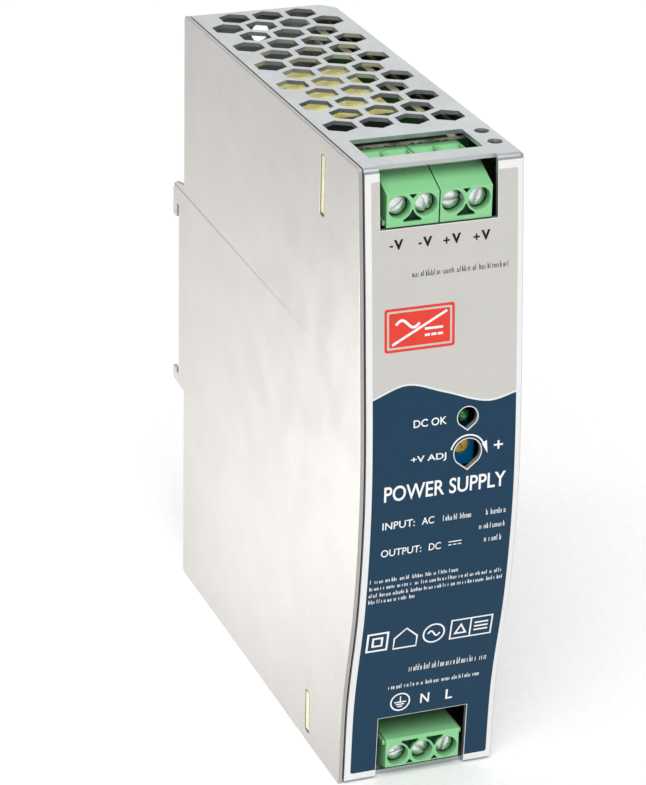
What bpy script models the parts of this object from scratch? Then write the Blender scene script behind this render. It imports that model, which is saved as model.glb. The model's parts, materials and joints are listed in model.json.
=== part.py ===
"""Slim DIN rail power supply: folded steel case, front label, rail clamp, terminal blocks and circuit.

Everything is modelled from the case datum: x runs across the case from its middle, y runs back from
the outer face of the rear wall, so the front is at negative y, and z runs up from the case bottom.
The empty CaseDatum then moves the whole case, so that the world origin is the middle of the flat
rail seat. Dimensions are in millimetres, and the shape helpers turn them into metres.
"""

import math

import bmesh
import bpy
from mathutils import Matrix, Vector

MM = 0.001
WELD_DISTANCE = 2e-6
COLLECTION_NAME = "DinRailPowerSupply"

# Case
CASE_WIDTH = 32.0
CASE_HEIGHT = 125.2
HALF_WIDTH = CASE_WIDTH / 2
SHEET = 0.8
SEAM = 0.25
BEND_RADIUS = 1.0
COVER_INNER_X = -HALF_WIDTH + SHEET
CHASSIS_LEFT_X = COVER_INNER_X + SEAM
WALL_INNER_X = HALF_WIDTH - SHEET
# Depth of the bowed front at a few heights
FRONT_STATIONS = ((0.0, 95.0), (18.0, 96.2), (40.0, 100.4), (64.0, 102.0), (95.0, 100.0), (CASE_HEIGHT, 97.2))
FRONT_STEPS = 20

BEYOND_FRONT_Y = -110.0
BOW_LOWEST_Y = -99.0

# Middle of the DIN rail (35 x 7.5 mm top hat) and the side sheets' ears that carry it
RAIL_CENTRE_Z = 64.9
SEAT_Y = 3.5
EAR_Y = 7.1
RAIL_SLOT_Y = 4.9
EAR_TOP_Z = 88.9
EAR_BOTTOM_Z = 42.6
HOOK_TIP_Z = 80.2
HOOK_ROOT_Z = 83.3
LOWER_EAR_TOP_Z = 45.9

# Honeycomb vents
VENT_RADIUS = 3.3
VENT_PITCH_X = 7.07
VENT_PITCH_Y = 6.27
VENT_FIRST_Y = -5.1
VENT_ROWS = 12

# Wire windows in the top and bottom panels, and the terminal cut-outs in the front
TOP_WINDOW_X = (-12.0, 10.0)
TOP_WINDOW_Y = (-92.0, -82.0)
TOP_STRIP_Y = -96.1
OUTPUT_CUTOUT_X = (-12.1, 10.6)
OUTPUT_CUTOUT_Z = 113.8
BOTTOM_WINDOW_X = (-8.0, 9.4)
BOTTOM_WINDOW_Y = (-93.0, -78.0)
BOTTOM_STRIP_Y = -93.9
INPUT_CUTOUT_X = (-8.5, 9.8)
INPUT_CUTOUT_Z = 13.3
TIE_HOLE_RADIUS = 1.4
TIE_HOLES = ((13.1, -84.0), (13.1, -90.1))
KEYHOLE_WIDTH = 3.8
KEYHOLE_Z = (112.0, 122.3)

# Screws through the rear wall into the cover's tabs, and rivets of the rail bracket, as (x, z)
COVER_SCREW_RADIUS = 1.25
COVER_SCREWS = ((-10.5, 101.0), (-10.5, 24.0))
RIVET_RADIUS = 1.2
BRACKET_RIVETS = ((-11.2, 75.0), (11.2, 55.0))

# Rail bracket, sliding latch and its spring
BRACKET_Z = (49.7, 82.2)
LATCH_Y = (0.8, 2.0)
LATCH_HALF_WIDTH = 7.8
LATCH_TIP_Z = 49.3
LATCH_FOOT_Z = 6.0
WINDOW_Z = (52.4, 70.0)
SPRING_Z = (57.3, 69.8)
SPRING_Y = 1.4
SPRING_TURNS = 9
SPRING_RADIUS = 0.9
SPRING_WIRE_RADIUS = 0.18

# Printed film on the front
LABEL_Z = (0.5, 124.0)
LABEL_THICKNESS = 0.15
LABEL_GAP = 0.12

# Front controls, as (x, z)
LED_AT = (4.9, 76.9)
LED_HOLE_RADIUS = 2.1
TRIMMER_AT = (5.0, 70.0)
TRIMMER_HOLE_RADIUS = 3.0

# Terminal blocks
POLE_PITCH = 5.08
OUTPUT_BLOCK_HEIGHT = 8.8
INPUT_BLOCK_HEIGHT = 8.2
BLOCK_DEPTH = 17.3
FACE_HEIGHT = 6.1
SLOPE_DEPTH = 5.7
SLOPE_HEIGHT = 7.6
POLE_HEIGHT = 3.7
WELL_RADIUS = 2.15
SHOULDER_RADIUS = 1.55
CHAMBER_HALF_WIDTH = 2.05
WELL_DEPTH = 3.0
SCREW_SEAT_DEPTH = 2.8
SLOT_HALF_WIDTH = 0.28
OUTPUT_FRONT_Y = -98.2
OUTPUT_BASE_Z = 114.0
OUTPUT_FIRST_X = -8.36
INPUT_FRONT_Y = -95.8
INPUT_BASE_Z = 8.3
INPUT_FIRST_X = -4.2

# Circuit boards
BOARD = 1.6
MAIN_BOARD_X = 10.9
OUTPUT_BOARD_Y = -80.6
INPUT_BOARD_Y = -78.3
TAB_SLOT_CLEARANCE = 0.3
STANDOFFS = ((-8.0, 9.0), (-8.0, 117.0), (-70.0, 62.0))
STANDOFF_FOOT = 1.75
LEAD_GAP_X = 10.6

# Material colours (linear RGB), roughness and metallic value
MATERIALS = {
    "case_sheet": ((0.63, 0.65, 0.66), 0.42, 0.85),
    "cover_sheet": ((0.66, 0.64, 0.61), 0.42, 0.85),
    "label_film": ((0.04, 0.09, 0.17), 0.55, 0.0),
    "zinc_steel": ((0.60, 0.60, 0.58), 0.35, 1.0),
    "spring_steel": ((0.45, 0.45, 0.46), 0.30, 1.0),
    "board": ((0.02, 0.12, 0.05), 0.45, 0.0),
    "terminal_green": ((0.20, 0.52, 0.24), 0.40, 0.0),
    "plated_screw": ((0.70, 0.70, 0.72), 0.25, 1.0),
    "tinned_copper": ((0.72, 0.68, 0.60), 0.30, 1.0),
    "trimmer_blue": ((0.0, 0.12, 0.38), 0.40, 0.0),
    "rotor_brass": ((0.78, 0.58, 0.16), 0.35, 1.0),
    "led_green": ((0.03, 0.25, 0.07), 0.15, 0.0),
    "ferrite": ((0.03, 0.03, 0.032), 0.60, 0.0),
    "yellow_tape": ((0.85, 0.76, 0.25), 0.35, 0.0),
    "black_sleeve": ((0.02, 0.02, 0.022), 0.35, 0.0),
    "copper_wire": ((0.60, 0.24, 0.08), 0.30, 1.0),
    "box_grey": ((0.30, 0.30, 0.30), 0.50, 0.0),
    "ceramic_blue": ((0.03, 0.13, 0.40), 0.40, 0.0),
    "epoxy_black": ((0.015, 0.015, 0.015), 0.45, 0.0),
    "heatsink": ((0.42, 0.43, 0.42), 0.40, 1.0),
    "fuse_body": ((0.72, 0.70, 0.64), 0.35, 0.0),
    "mylar": ((0.75, 0.76, 0.72), 0.30, 0.0),
}


# ---------------------------------------------------------------- scene and mesh helpers

def clear_scene():
    for item in list(bpy.data.objects):
        bpy.data.objects.remove(item, do_unlink=True)


def make_collection(name):
    collection = bpy.data.collections.get(name) or bpy.data.collections.new(name)
    if name not in bpy.context.scene.collection.children:
        bpy.context.scene.collection.children.link(collection)
    return collection


def make_material(name):
    colour, roughness, metallic = MATERIALS[name]
    material = bpy.data.materials.get(name) or bpy.data.materials.new(name)
    material.use_nodes = True
    shader = material.node_tree.nodes["Principled BSDF"]
    shader.inputs["Base Color"].default_value = (*colour, 1.0)
    shader.inputs["Roughness"].default_value = roughness
    shader.inputs["Metallic"].default_value = metallic
    return material


def scratch_object(data, name="Scratch"):
    obj = bpy.data.objects.new(name, data)
    bpy.context.scene.collection.objects.link(obj)
    return obj


def evaluated_mesh(obj):
    """The object's mesh with its modifiers, after which the object is removed."""
    graph = bpy.context.evaluated_depsgraph_get()
    mesh = bpy.data.meshes.new_from_object(obj.evaluated_get(graph), depsgraph=graph)
    bpy.data.objects.remove(obj, do_unlink=True)
    return mesh


def mesh_from(bm):
    mesh = bpy.data.meshes.new("Shape")
    bm.to_mesh(mesh)
    bm.free()
    return mesh


def merged(meshes):
    bm = bmesh.new()
    for mesh in meshes:
        bm.from_mesh(mesh)
    return mesh_from(bm)


def welded(mesh):
    bm = bmesh.new()
    bm.from_mesh(mesh)
    bmesh.ops.remove_doubles(bm, verts=bm.verts, dist=WELD_DISTANCE)
    return mesh_from(bm)


def boolean(mesh, tools, operation, tools_overlap=False):
    """Join or cut a mesh with a list of closed meshes."""
    if not tools:
        return mesh
    tool = scratch_object(merged(tools), "Tool")
    base = scratch_object(mesh, "Base")
    modifier = base.modifiers.new("Boolean", "BOOLEAN")
    modifier.operation = operation
    modifier.solver = "EXACT"
    modifier.use_self = tools_overlap
    modifier.object = tool
    result = evaluated_mesh(base)
    bpy.data.objects.remove(tool, do_unlink=True)
    return welded(result)


def beveled(mesh, width, segments=1, angle=40.0):
    obj = scratch_object(mesh)
    modifier = obj.modifiers.new("Bevel", "BEVEL")
    modifier.width = width * MM
    modifier.segments = segments
    modifier.limit_method = "ANGLE"
    modifier.angle_limit = math.radians(angle)
    return evaluated_mesh(obj)


# ---------------------------------------------------------------- shapes

def box(low, high):
    low = Vector(low) * MM
    high = Vector(high) * MM
    bm = bmesh.new()
    bmesh.ops.create_cube(bm, size=1.0)
    bmesh.ops.scale(bm, vec=high - low, verts=bm.verts)
    bmesh.ops.translate(bm, vec=(low + high) / 2, verts=bm.verts)
    return mesh_from(bm)


def rod(start, end, radius, segments=20, end_radius=None):
    """A cylinder or cone between two points; three or six segments give a prism."""
    start = Vector(start) * MM
    end = Vector(end) * MM
    turn = (end - start).to_track_quat("Z", "Y").to_matrix().to_4x4()
    bm = bmesh.new()
    bmesh.ops.create_cone(
        bm, cap_ends=True, segments=segments, depth=(end - start).length,
        radius1=radius * MM, radius2=(radius if end_radius is None else end_radius) * MM,
        matrix=Matrix.Translation((start + end) / 2) @ turn)
    return mesh_from(bm)


def slab(loops, axis, low, high):
    """A flat outline (loops after the first are holes) thickened along an axis from low to high.

    The outline's coordinates are (y, z) for axis X, (x, z) for axis Y and (x, y) for axis Z.
    """
    curve = bpy.data.curves.new("Outline", "CURVE")
    curve.dimensions = "2D"
    curve.fill_mode = "BOTH"
    curve.extrude = (high - low) / 2 * MM
    for loop in loops:
        spline = curve.splines.new("POLY")
        spline.points.add(len(loop) - 1)
        for point, (u, v) in zip(spline.points, loop):
            point.co = (u * MM, v * MM, 0.0, 1.0)
        spline.use_cyclic_u = True
    mesh = evaluated_mesh(scratch_object(curve))
    middle = (high + low) / 2 * MM
    frames = {
        "X": Matrix(((0, 0, 1, middle), (1, 0, 0, 0), (0, 1, 0, 0), (0, 0, 0, 1))),
        "Y": Matrix(((1, 0, 0, 0), (0, 0, -1, middle), (0, 1, 0, 0), (0, 0, 0, 1))),
        "Z": Matrix(((1, 0, 0, 0), (0, 1, 0, 0), (0, 0, 1, middle), (0, 0, 0, 1))),
    }
    mesh.transform(frames[axis])
    bm = bmesh.new()
    bm.from_mesh(mesh)
    bmesh.ops.remove_doubles(bm, verts=bm.verts, dist=1e-6)
    bmesh.ops.recalc_face_normals(bm, faces=bm.faces)
    return mesh_from(bm)


def turned(profile, segments, origin=(0, 0, 0), axis=(0, 0, 1), closed=False):
    """A profile of (radius, height) pairs, top to bottom, turned about an axis through origin."""
    mesh = bpy.data.meshes.new("Profile")
    points = [(radius * MM, 0.0, height * MM) for radius, height in profile]
    edges = [(i, i + 1) for i in range(len(points) - 1)]
    if closed:
        edges.append((len(points) - 1, 0))
    mesh.from_pydata(points, edges, [])
    obj = scratch_object(mesh)
    modifier = obj.modifiers.new("Screw", "SCREW")
    modifier.steps = segments
    modifier.render_steps = segments
    modifier.use_merge_vertices = True
    modifier.merge_threshold = 1e-5
    mesh = evaluated_mesh(obj)
    turn = Vector(axis).to_track_quat("Z", "Y").to_matrix().to_4x4()
    mesh.transform(Matrix.Translation(Vector(origin) * MM) @ turn)
    return mesh


def arc(u, v, radius, start, stop, steps):
    """Points on an arc about (u, v), from start to stop in degrees."""
    angles = [math.radians(start + (stop - start) * i / steps) for i in range(steps + 1)]
    return [(u + radius * math.cos(a), v + radius * math.sin(a)) for a in angles]


def rounded_rectangle(low, high, radius, steps=4):
    (u0, v0), (u1, v1) = low, high
    return (arc(u1 - radius, v1 - radius, radius, 0, 90, steps)
            + arc(u0 + radius, v1 - radius, radius, 90, 180, steps)
            + arc(u0 + radius, v0 + radius, radius, 180, 270, steps)
            + arc(u1 - radius, v0 + radius, radius, 270, 360, steps))


def teardrop(centre, radius):
    """A round hole whose lower side runs down to a blunt point."""
    return arc(*centre, radius, -40, 220, 14) + [(centre[0], centre[1] - radius * 1.25)]


class Case:
    """Collects the parts, and parents each to the case datum."""

    def __init__(self):
        self.collection = make_collection(COLLECTION_NAME)
        self.datum = bpy.data.objects.new("CaseDatum", None)
        self.datum.location = (0.0, -SEAT_Y * MM, -RAIL_CENTRE_Z * MM)
        self.collection.objects.link(self.datum)

    def add(self, name, mesh, material, pivot=(0, 0, 0), smooth=False):
        """Add a part whose mesh is in case coordinates; its origin goes to the pivot."""
        mesh.name = name
        mesh.transform(Matrix.Translation(-Vector(pivot) * MM))
        mesh.materials.clear()
        mesh.materials.append(make_material(material))
        if smooth:
            mesh.shade_smooth()
            mesh.set_sharp_from_angle(angle=math.radians(35))
        obj = bpy.data.objects.new(name, mesh)
        obj.location = Vector(pivot) * MM
        obj.parent = self.datum
        self.collection.objects.link(obj)
        return obj


# ---------------------------------------------------------------- case outline

def front_depth(z):
    """Depth of the bowed front at height z: a smooth curve through the stations."""
    stations = FRONT_STATIONS
    slopes = []
    for i in range(len(stations)):
        before = stations[max(i - 1, 0)]
        after = stations[min(i + 1, len(stations) - 1)]
        slopes.append((after[1] - before[1]) / (after[0] - before[0]))
    index = 0
    while index < len(stations) - 2 and z > stations[index + 1][0]:
        index += 1
    (z0, d0), (z1, d1) = stations[index], stations[index + 1]
    span = z1 - z0
    t = min(max((z - z0) / span, 0.0), 1.0)
    bend = (2 * t**3 - 3 * t**2 + 1) * d0 + (3 * t**2 - 2 * t**3) * d1
    return bend + (t**3 - 2 * t**2 + t) * span * slopes[index] + (t**3 - t**2) * span * slopes[index + 1]


def front_line(low_z, high_z, steps, inset=0.0):
    """Points (y, z) up the bowed front."""
    heights = [low_z + (high_z - low_z) * i / steps for i in range(steps + 1)]
    return [(-front_depth(z) + inset, z) for z in heights]


def ear_line():
    """Rear edge of a side sheet, from the top down: upper hook, rail seat and lower ear."""
    upper = [(0.0, EAR_TOP_Z)] + arc(EAR_Y - 2.6, EAR_TOP_Z - 3.5, 2.6, 80, 0, 4)
    hook = [(EAR_Y, HOOK_TIP_Z), (RAIL_SLOT_Y + 0.3, HOOK_TIP_Z), (RAIL_SLOT_Y, HOOK_TIP_Z + 0.6),
            (RAIL_SLOT_Y, HOOK_ROOT_Z), (SEAT_Y, HOOK_ROOT_Z)]
    lower = [(SEAT_Y, LOWER_EAR_TOP_Z - 0.7), (RAIL_SLOT_Y, LOWER_EAR_TOP_Z - 0.7),
             (RAIL_SLOT_Y, LOWER_EAR_TOP_Z), (EAR_Y, LOWER_EAR_TOP_Z)]
    return upper + hook + lower + arc(EAR_Y - 1.6, EAR_BOTTOM_Z + 2.0, 1.6, 0, -70, 3) + [(0.0, EAR_BOTTOM_Z)]


# ---------------------------------------------------------------- case parts

def hexagon_vents(low_z, high_z):
    """Alternating rows of three and four hexagons, as prisms through a panel."""
    prisms = []
    for row in range(VENT_ROWS):
        count = 3 + row % 2
        y = VENT_FIRST_Y - VENT_PITCH_Y * row
        for column in range(count):
            x = (column - (count - 1) / 2) * VENT_PITCH_X
            prisms.append(rod((x, y, low_z), (x, y, high_z), VENT_RADIUS, 6))
    return prisms


def chassis_shell():
    """Front, top, rear, bottom and right wall folded from one sheet, open on the left."""
    outline = [(0.0, 0.0)] + front_line(0.0, CASE_HEIGHT, FRONT_STEPS) + [(0.0, CASE_HEIGHT)]
    bm = bmesh.new()
    rim = [bm.verts.new((HALF_WIDTH * MM, y * MM, z * MM)) for y, z in outline]
    right_wall = bm.faces.new(rim)
    walls = bmesh.ops.extrude_edge_only(bm, edges=bm.edges[:])
    moved = [item for item in walls["geom"] if isinstance(item, bmesh.types.BMVert)]
    bmesh.ops.translate(bm, verts=moved, vec=((CHASSIS_LEFT_X - HALF_WIDTH) * MM, 0, 0))
    bmesh.ops.recalc_face_normals(bm, faces=bm.faces)
    if right_wall.normal.x < 0:
        bmesh.ops.reverse_faces(bm, faces=bm.faces)
    obj = scratch_object(mesh_from(bm))
    bevel = obj.modifiers.new("Bends", "BEVEL")
    bevel.width = BEND_RADIUS * MM
    bevel.segments = 3
    bevel.limit_method = "ANGLE"
    bevel.angle_limit = math.radians(40)
    shell = obj.modifiers.new("Sheet", "SOLIDIFY")
    shell.thickness = SHEET * MM
    shell.offset = -1.0
    shell.use_even_offset = True
    return evaluated_mesh(obj)


def front_holes():
    """Prisms through the front for the lamp and the trimmer."""
    outlines = (teardrop(LED_AT, LED_HOLE_RADIUS), teardrop(TRIMMER_AT, TRIMMER_HOLE_RADIUS))
    return [slab([outline], "Y", BEYOND_FRONT_Y, BOW_LOWEST_Y) for outline in outlines]


def chassis_openings():
    far = BEYOND_FRONT_Y
    top = CASE_HEIGHT
    cuts = hexagon_vents(top - 2.0, top + 1.0) + hexagon_vents(-1.0, 2.0)
    (x0, x1), (y0, y1) = TOP_WINDOW_X, TOP_WINDOW_Y
    cuts.append(box((x0, y0, top - 2), (x1, y1, top + 1)))
    (x0, x1), (y0, y1) = BOTTOM_WINDOW_X, BOTTOM_WINDOW_Y
    cuts.append(box((x0, y0, -1), (x1, y1, 2)))
    cuts.append(box((OUTPUT_CUTOUT_X[0], far, OUTPUT_CUTOUT_Z), (OUTPUT_CUTOUT_X[1], TOP_STRIP_Y, top + 1)))
    cuts.append(box((INPUT_CUTOUT_X[0], far, -1), (INPUT_CUTOUT_X[1], BOTTOM_STRIP_Y, INPUT_CUTOUT_Z)))
    cuts += [rod((x, y, top - 2), (x, y, top + 1), TIE_HOLE_RADIUS, 16) for x, y in TIE_HOLES]
    cuts += front_holes()
    half = KEYHOLE_WIDTH / 2
    slot = rounded_rectangle((-half, KEYHOLE_Z[0]), (half, KEYHOLE_Z[1]), half - 0.01, 5)
    cuts.append(slab([slot], "Y", -2.0, 1.0))
    cuts += [rod((x, -2, z), (x, 1, z), COVER_SCREW_RADIUS + 0.3, 16) for x, z in COVER_SCREWS]
    cuts += [rod((x, -2, z), (x, 1, z), RIVET_RADIUS + 0.25, 16) for x, z in BRACKET_RIVETS]
    cuts += [rod((14, y, z), (17, y, z), STANDOFF_FOOT + 0.25, 16) for y, z in STANDOFFS]
    return cuts


def build_chassis(case):
    ear = slab([ear_line() + [(-3.0, EAR_BOTTOM_Z), (-3.0, EAR_TOP_Z)]], "X", WALL_INNER_X, HALF_WIDTH)
    mesh = boolean(chassis_shell(), [ear], "UNION")
    mesh = boolean(mesh, chassis_openings(), "DIFFERENCE")
    case.add("chassis", mesh, "case_sheet")


def build_side_cover(case):
    """Flat left sheet with ears, board-tab slots and two tabs bent in behind the rear wall."""
    corner = 0.8
    outline = ([(0.0, CASE_HEIGHT)] + ear_line() + [(0.0, 0.0)]
               + front_line(0.0, CASE_HEIGHT, FRONT_STEPS))
    outline.append((-corner, CASE_HEIGHT))
    half_slot = TAB_SLOT_CLEARANCE
    slots = []
    for board_y, low, high in ((OUTPUT_BOARD_Y, 110.5, 122.2), (INPUT_BOARD_Y, 2.0, 11.0)):
        slots.append([(board_y - half_slot, low), (board_y + BOARD + half_slot, low),
                      (board_y + BOARD + half_slot, high), (board_y - half_slot, high)])
    sheet = slab([outline] + slots, "X", -HALF_WIDTH, COVER_INNER_X)
    tabs = [box((COVER_INNER_X - 0.3, -2.2, z - 5), (x + 3.2, -1.2, z + 5)) for x, z in COVER_SCREWS]
    holes = [rod((x, -3, z), (x, 0, z), COVER_SCREW_RADIUS + 0.2, 16) for x, z in COVER_SCREWS]
    case.add("side_cover", boolean(boolean(sheet, tabs, "UNION"), holes, "DIFFERENCE"), "cover_sheet")


def build_front_label(case):
    """Printed film that follows the bowed front."""
    steps = 24
    outer = front_line(*LABEL_Z, steps, -LABEL_THICKNESS - LABEL_GAP)
    inner = front_line(*LABEL_Z, steps, -LABEL_GAP)
    mesh = slab([outer + inner[::-1]], "X", COVER_INNER_X + 0.3, HALF_WIDTH - 0.9)
    far = BEYOND_FRONT_Y
    cuts = [box((OUTPUT_CUTOUT_X[0], far, OUTPUT_CUTOUT_Z), (OUTPUT_CUTOUT_X[1], -90, CASE_HEIGHT)),
            box((INPUT_CUTOUT_X[0], far, -1), (INPUT_CUTOUT_X[1], -90, INPUT_CUTOUT_Z))]
    case.add("front_label", boolean(mesh, cuts + front_holes(), "DIFFERENCE"), "label_film")


def build_cover_screws(case):
    for index, (x, z) in enumerate(COVER_SCREWS, 1):
        profile = [(0, 2.0), (1.6, 2.0), (2.4, 1.1), (2.4, 0.15), (COVER_SCREW_RADIUS, 0.15),
                   (COVER_SCREW_RADIUS, -5.0), (0, -5.0)]
        screw = turned(profile, 20, (x, 0, z), (0, 1, 0))
        cross = [box((x - 0.3, 1.1, z - 1.5), (x + 0.3, 2.5, z + 1.5)),
                 box((x - 1.5, 1.1, z - 0.3), (x + 1.5, 2.5, z + 0.3))]
        mesh = boolean(screw, cross, "DIFFERENCE", tools_overlap=True)
        case.add(f"cover_screw_{index}", mesh, "plated_screw", (x, 0, z), smooth=True)


# ---------------------------------------------------------------- rail clamp

def build_rail_bracket(case):
    """Hat-section plate on the rear wall: its land is the rail seat and its channel guides the latch."""
    outline = [(-13.2, 0.3), (-8.2, 0.3), (-8.2, 2.7), (8.2, 2.7), (8.2, 0.3), (13.2, 0.3),
               (13.2, 1.1), (9.0, 1.1), (9.0, SEAT_Y), (-9.0, SEAT_Y), (-9.0, 1.1), (-13.2, 1.1)]
    hat = slab([outline], "Z", *BRACKET_Z)
    tab = box((-1.2, 0.6, 56.3), (1.2, 3.0, 57.0))
    holes = [rod((x, -1, z), (x, 2, z), RIVET_RADIUS + 0.25, 16) for x, z in BRACKET_RIVETS]
    mesh = boolean(boolean(hat, [tab], "UNION"), holes, "DIFFERENCE")
    case.add("rail_bracket", mesh, "zinc_steel")


def build_rail_latch(case):
    """Sliding plate: guided tongue with a spring window, hook behind the rail, and a driver slot."""
    tongue = [(-LATCH_HALF_WIDTH, 46.0), (LATCH_HALF_WIDTH, 46.0),
              (LATCH_HALF_WIDTH, 75.0), (LATCH_HALF_WIDTH - 1.5, 76.5),
              (-LATCH_HALF_WIDTH + 1.5, 76.5), (-LATCH_HALF_WIDTH, 75.0)]
    window = [(-1.6, WINDOW_Z[0]), (1.6, WINDOW_Z[0]), (1.6, WINDOW_Z[1]), (-1.6, WINDOW_Z[1])]
    plate = slab([tongue, window], "Y", *LATCH_Y)
    stem = [(-9.6, LATCH_TIP_Z), (-9.6, 44.0), (-6.0, 40.0), (-6.0, LATCH_FOOT_Z + 1.5),
            (-4.5, LATCH_FOOT_Z), (4.5, LATCH_FOOT_Z), (6.0, LATCH_FOOT_Z + 1.5), (6.0, 40.0),
            (9.6, 44.0), (9.6, LATCH_TIP_Z)]
    driver_slot = [(-3.0, 9.0), (3.0, 9.0), (3.0, 11.4), (-3.0, 11.4)]
    guide_slot = rounded_rectangle((-1.6, 22.0), (1.6, 31.0), 1.59, 4)
    stem_plate = slab([stem, driver_slot, guide_slot], "Y", *LATCH_Y)
    hook = [(1.0, 45.2), (5.4, 45.2), (6.0, 45.8), (6.0, 47.6), (5.2, 49.2), (4.8, 49.2),
            (4.8, 46.4), (1.0, 46.4)]
    lip = slab([hook], "X", -7.0, 7.0)
    case.add("rail_latch", boolean(plate, [stem_plate, lip], "UNION", tools_overlap=True), "zinc_steel")


def build_latch_spring(case):
    """Compression spring between the bracket's tab and the top of the latch's window."""
    steps = 10
    low = SPRING_Z[0] + SPRING_WIRE_RADIUS
    high = SPRING_Z[1] - SPRING_WIRE_RADIUS
    count = SPRING_TURNS * steps
    curve = bpy.data.curves.new("Coil", "CURVE")
    curve.dimensions = "3D"
    curve.bevel_depth = SPRING_WIRE_RADIUS * MM
    curve.bevel_resolution = 1
    curve.use_fill_caps = True
    spline = curve.splines.new("POLY")
    spline.points.add(count)
    for i, point in enumerate(spline.points):
        angle = 2 * math.pi * i / steps
        centre = Vector((0.0, SPRING_Y, low + (high - low) * i / count))
        offset = Vector((math.cos(angle), math.sin(angle), 0.0)) * SPRING_RADIUS
        point.co = (*((centre + offset) * MM), 1.0)
    mesh = evaluated_mesh(scratch_object(curve))
    case.add("latch_spring", welded(mesh), "spring_steel", smooth=True)


def build_rivets(case):
    """Two rivets that hold the rail bracket to the rear wall."""
    for index, (x, z) in enumerate(BRACKET_RIVETS, 1):
        profile = [(0, 2.3), (1.2, 2.2), (2.0, 1.3), (RIVET_RADIUS, 1.3), (RIVET_RADIUS, -1.0),
                   (1.8, -1.0), (1.4, -1.7), (0, -1.7)]
        mesh = turned(profile, 16, (x, 0, z), (0, 1, 0))
        case.add(f"bracket_rivet_{index}", mesh, "zinc_steel", (x, 0, z), smooth=True)


# ---------------------------------------------------------------- terminal blocks

def block_point(front_y, base_z, up, depth, height):
    """A point of a terminal block, from its screw face and its flat side."""
    return (front_y + depth, base_z + up * height)


def housing_mesh(first_x, poles, front_y, base_z, up, block_height):
    """Block body with screw wells, clamp chambers, wire funnels and front pockets."""

    def cell(x_half, x, depths, heights):
        y0, z0 = block_point(front_y, base_z, up, depths[0], heights[0])
        y1, z1 = block_point(front_y, base_z, up, depths[1], heights[1])
        return box((x - x_half, y0, min(z0, z1)), (x + x_half, y1, max(z0, z1)))

    outline = [block_point(front_y, base_z, up, depth, height) for depth, height in (
        (0, 0), (BLOCK_DEPTH, 0), (BLOCK_DEPTH, block_height), (SLOPE_DEPTH, block_height),
        (SLOPE_DEPTH, SLOPE_HEIGHT), (0, FACE_HEIGHT))]
    left = first_x - POLE_PITCH / 2 + 0.05
    body = slab([outline], "X", left, left + poles * POLE_PITCH - 0.1)
    cuts = []
    screw_z = base_z + up * POLE_HEIGHT
    for pole in range(poles):
        x = first_x + pole * POLE_PITCH
        cuts.append(rod((x, front_y - 1, screw_z), (x, front_y + WELL_DEPTH, screw_z), WELL_RADIUS, 20))
        cuts.append(rod((x, front_y + 2, screw_z), (x, front_y + 5, screw_z), SHOULDER_RADIUS, 16))
        cuts.append(cell(CHAMBER_HALF_WIDTH, x, (4.5, 13.7), (0.5, 6.7)))
        cuts.append(cell(1.7, x, (9.0, 12.8), (6.0, block_height + 1.0)))
        cuts.append(cell(0.9, x, (13.0, BLOCK_DEPTH + 1), (0.5, 1.5)))
    for pole in range(poles - 1):
        x = first_x + (pole + 0.5) * POLE_PITCH
        for height, radius, turn in ((1.0, 1.15, 1), (5.25, 0.7, -1)):
            z = base_z + up * height
            pocket = rod((0, 0, 0), (0, 2.0, 0), radius, 3)
            pocket.transform(Matrix.Rotation(math.pi if up * turn < 0 else 0, 4, "Y"))
            pocket.transform(Matrix.Translation(Vector((x, front_y - 0.3, z)) * MM))
            cuts.append(pocket)
    return boolean(body, cuts, "DIFFERENCE", tools_overlap=True)


def terminal_screw(x, front_y, z):
    """Slotted screw that turns in place, with a plain shank."""
    profile = [(0, 1.0), (1.7, 1.0), (2.0, 0.7), (2.0, 0.0), (1.3, 0.0), (1.3, -5.6), (0.9, -5.7), (0, -5.7)]
    seat_y = front_y + SCREW_SEAT_DEPTH
    screw = turned(profile, 20, (x, seat_y, z), (0, -1, 0))
    slot = box((x - 3, seat_y - 2.0, z - SLOT_HALF_WIDTH), (x + 3, seat_y - 0.45, z + SLOT_HALF_WIDTH))
    return boolean(screw, [slot], "DIFFERENCE")


def clamp_cage(x, front_y, base_z, up):
    """Rectangular ring round the wire, with a tapped hole for the screw."""
    y0, z0 = block_point(front_y, base_z, up, 7.6, 1.7)
    y1, z1 = block_point(front_y, base_z, up, 13.3, 6.1)
    low_z, high_z = min(z0, z1), max(z0, z1)
    outer = [(x - 1.85, y0), (x + 1.85, y0), (x + 1.85, y1), (x - 1.85, y1)]
    inner = [(x - 1.35, y0 + 0.8), (x + 1.35, y0 + 0.8), (x + 1.35, y1 - 0.7), (x - 1.35, y1 - 0.7)]
    screw_z = base_z + up * POLE_HEIGHT
    hole = rod((x, y0 - 1, screw_z), (x, y0 + 1.2, screw_z), 1.5, 16)
    return boolean(slab([outer, inner], "Z", low_z, high_z), [hole], "DIFFERENCE")


def contact_bar(x, front_y, base_z, up, board_y):
    """Fixed bar that the wire is clamped against, with its pin through the board."""
    outline = [block_point(front_y, base_z, up, depth, height) for depth, height in (
        (8.7, 0.7), (BLOCK_DEPTH, 0.7), (BLOCK_DEPTH, 1.3), (9.3, 1.3), (9.3, 6.4), (8.7, 6.4))]
    tip_y = board_y + BOARD + 1.2
    outline[1] = (tip_y, outline[1][1])
    outline[2] = (tip_y, outline[2][1])
    bar = slab([outline], "X", x - 1.1, x + 1.1)
    low_z = min(outline[0][1], outline[2][1]) - 0.2
    high_z = max(outline[0][1], outline[2][1]) + 0.2
    narrow_y = front_y + 13.2
    trims = [box((x + 0.6, narrow_y, low_z), (x + 2, tip_y + 1, high_z)),
             box((x - 2, narrow_y, low_z), (x - 0.6, tip_y + 1, high_z))]
    return boolean(bar, trims, "DIFFERENCE")


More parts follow.
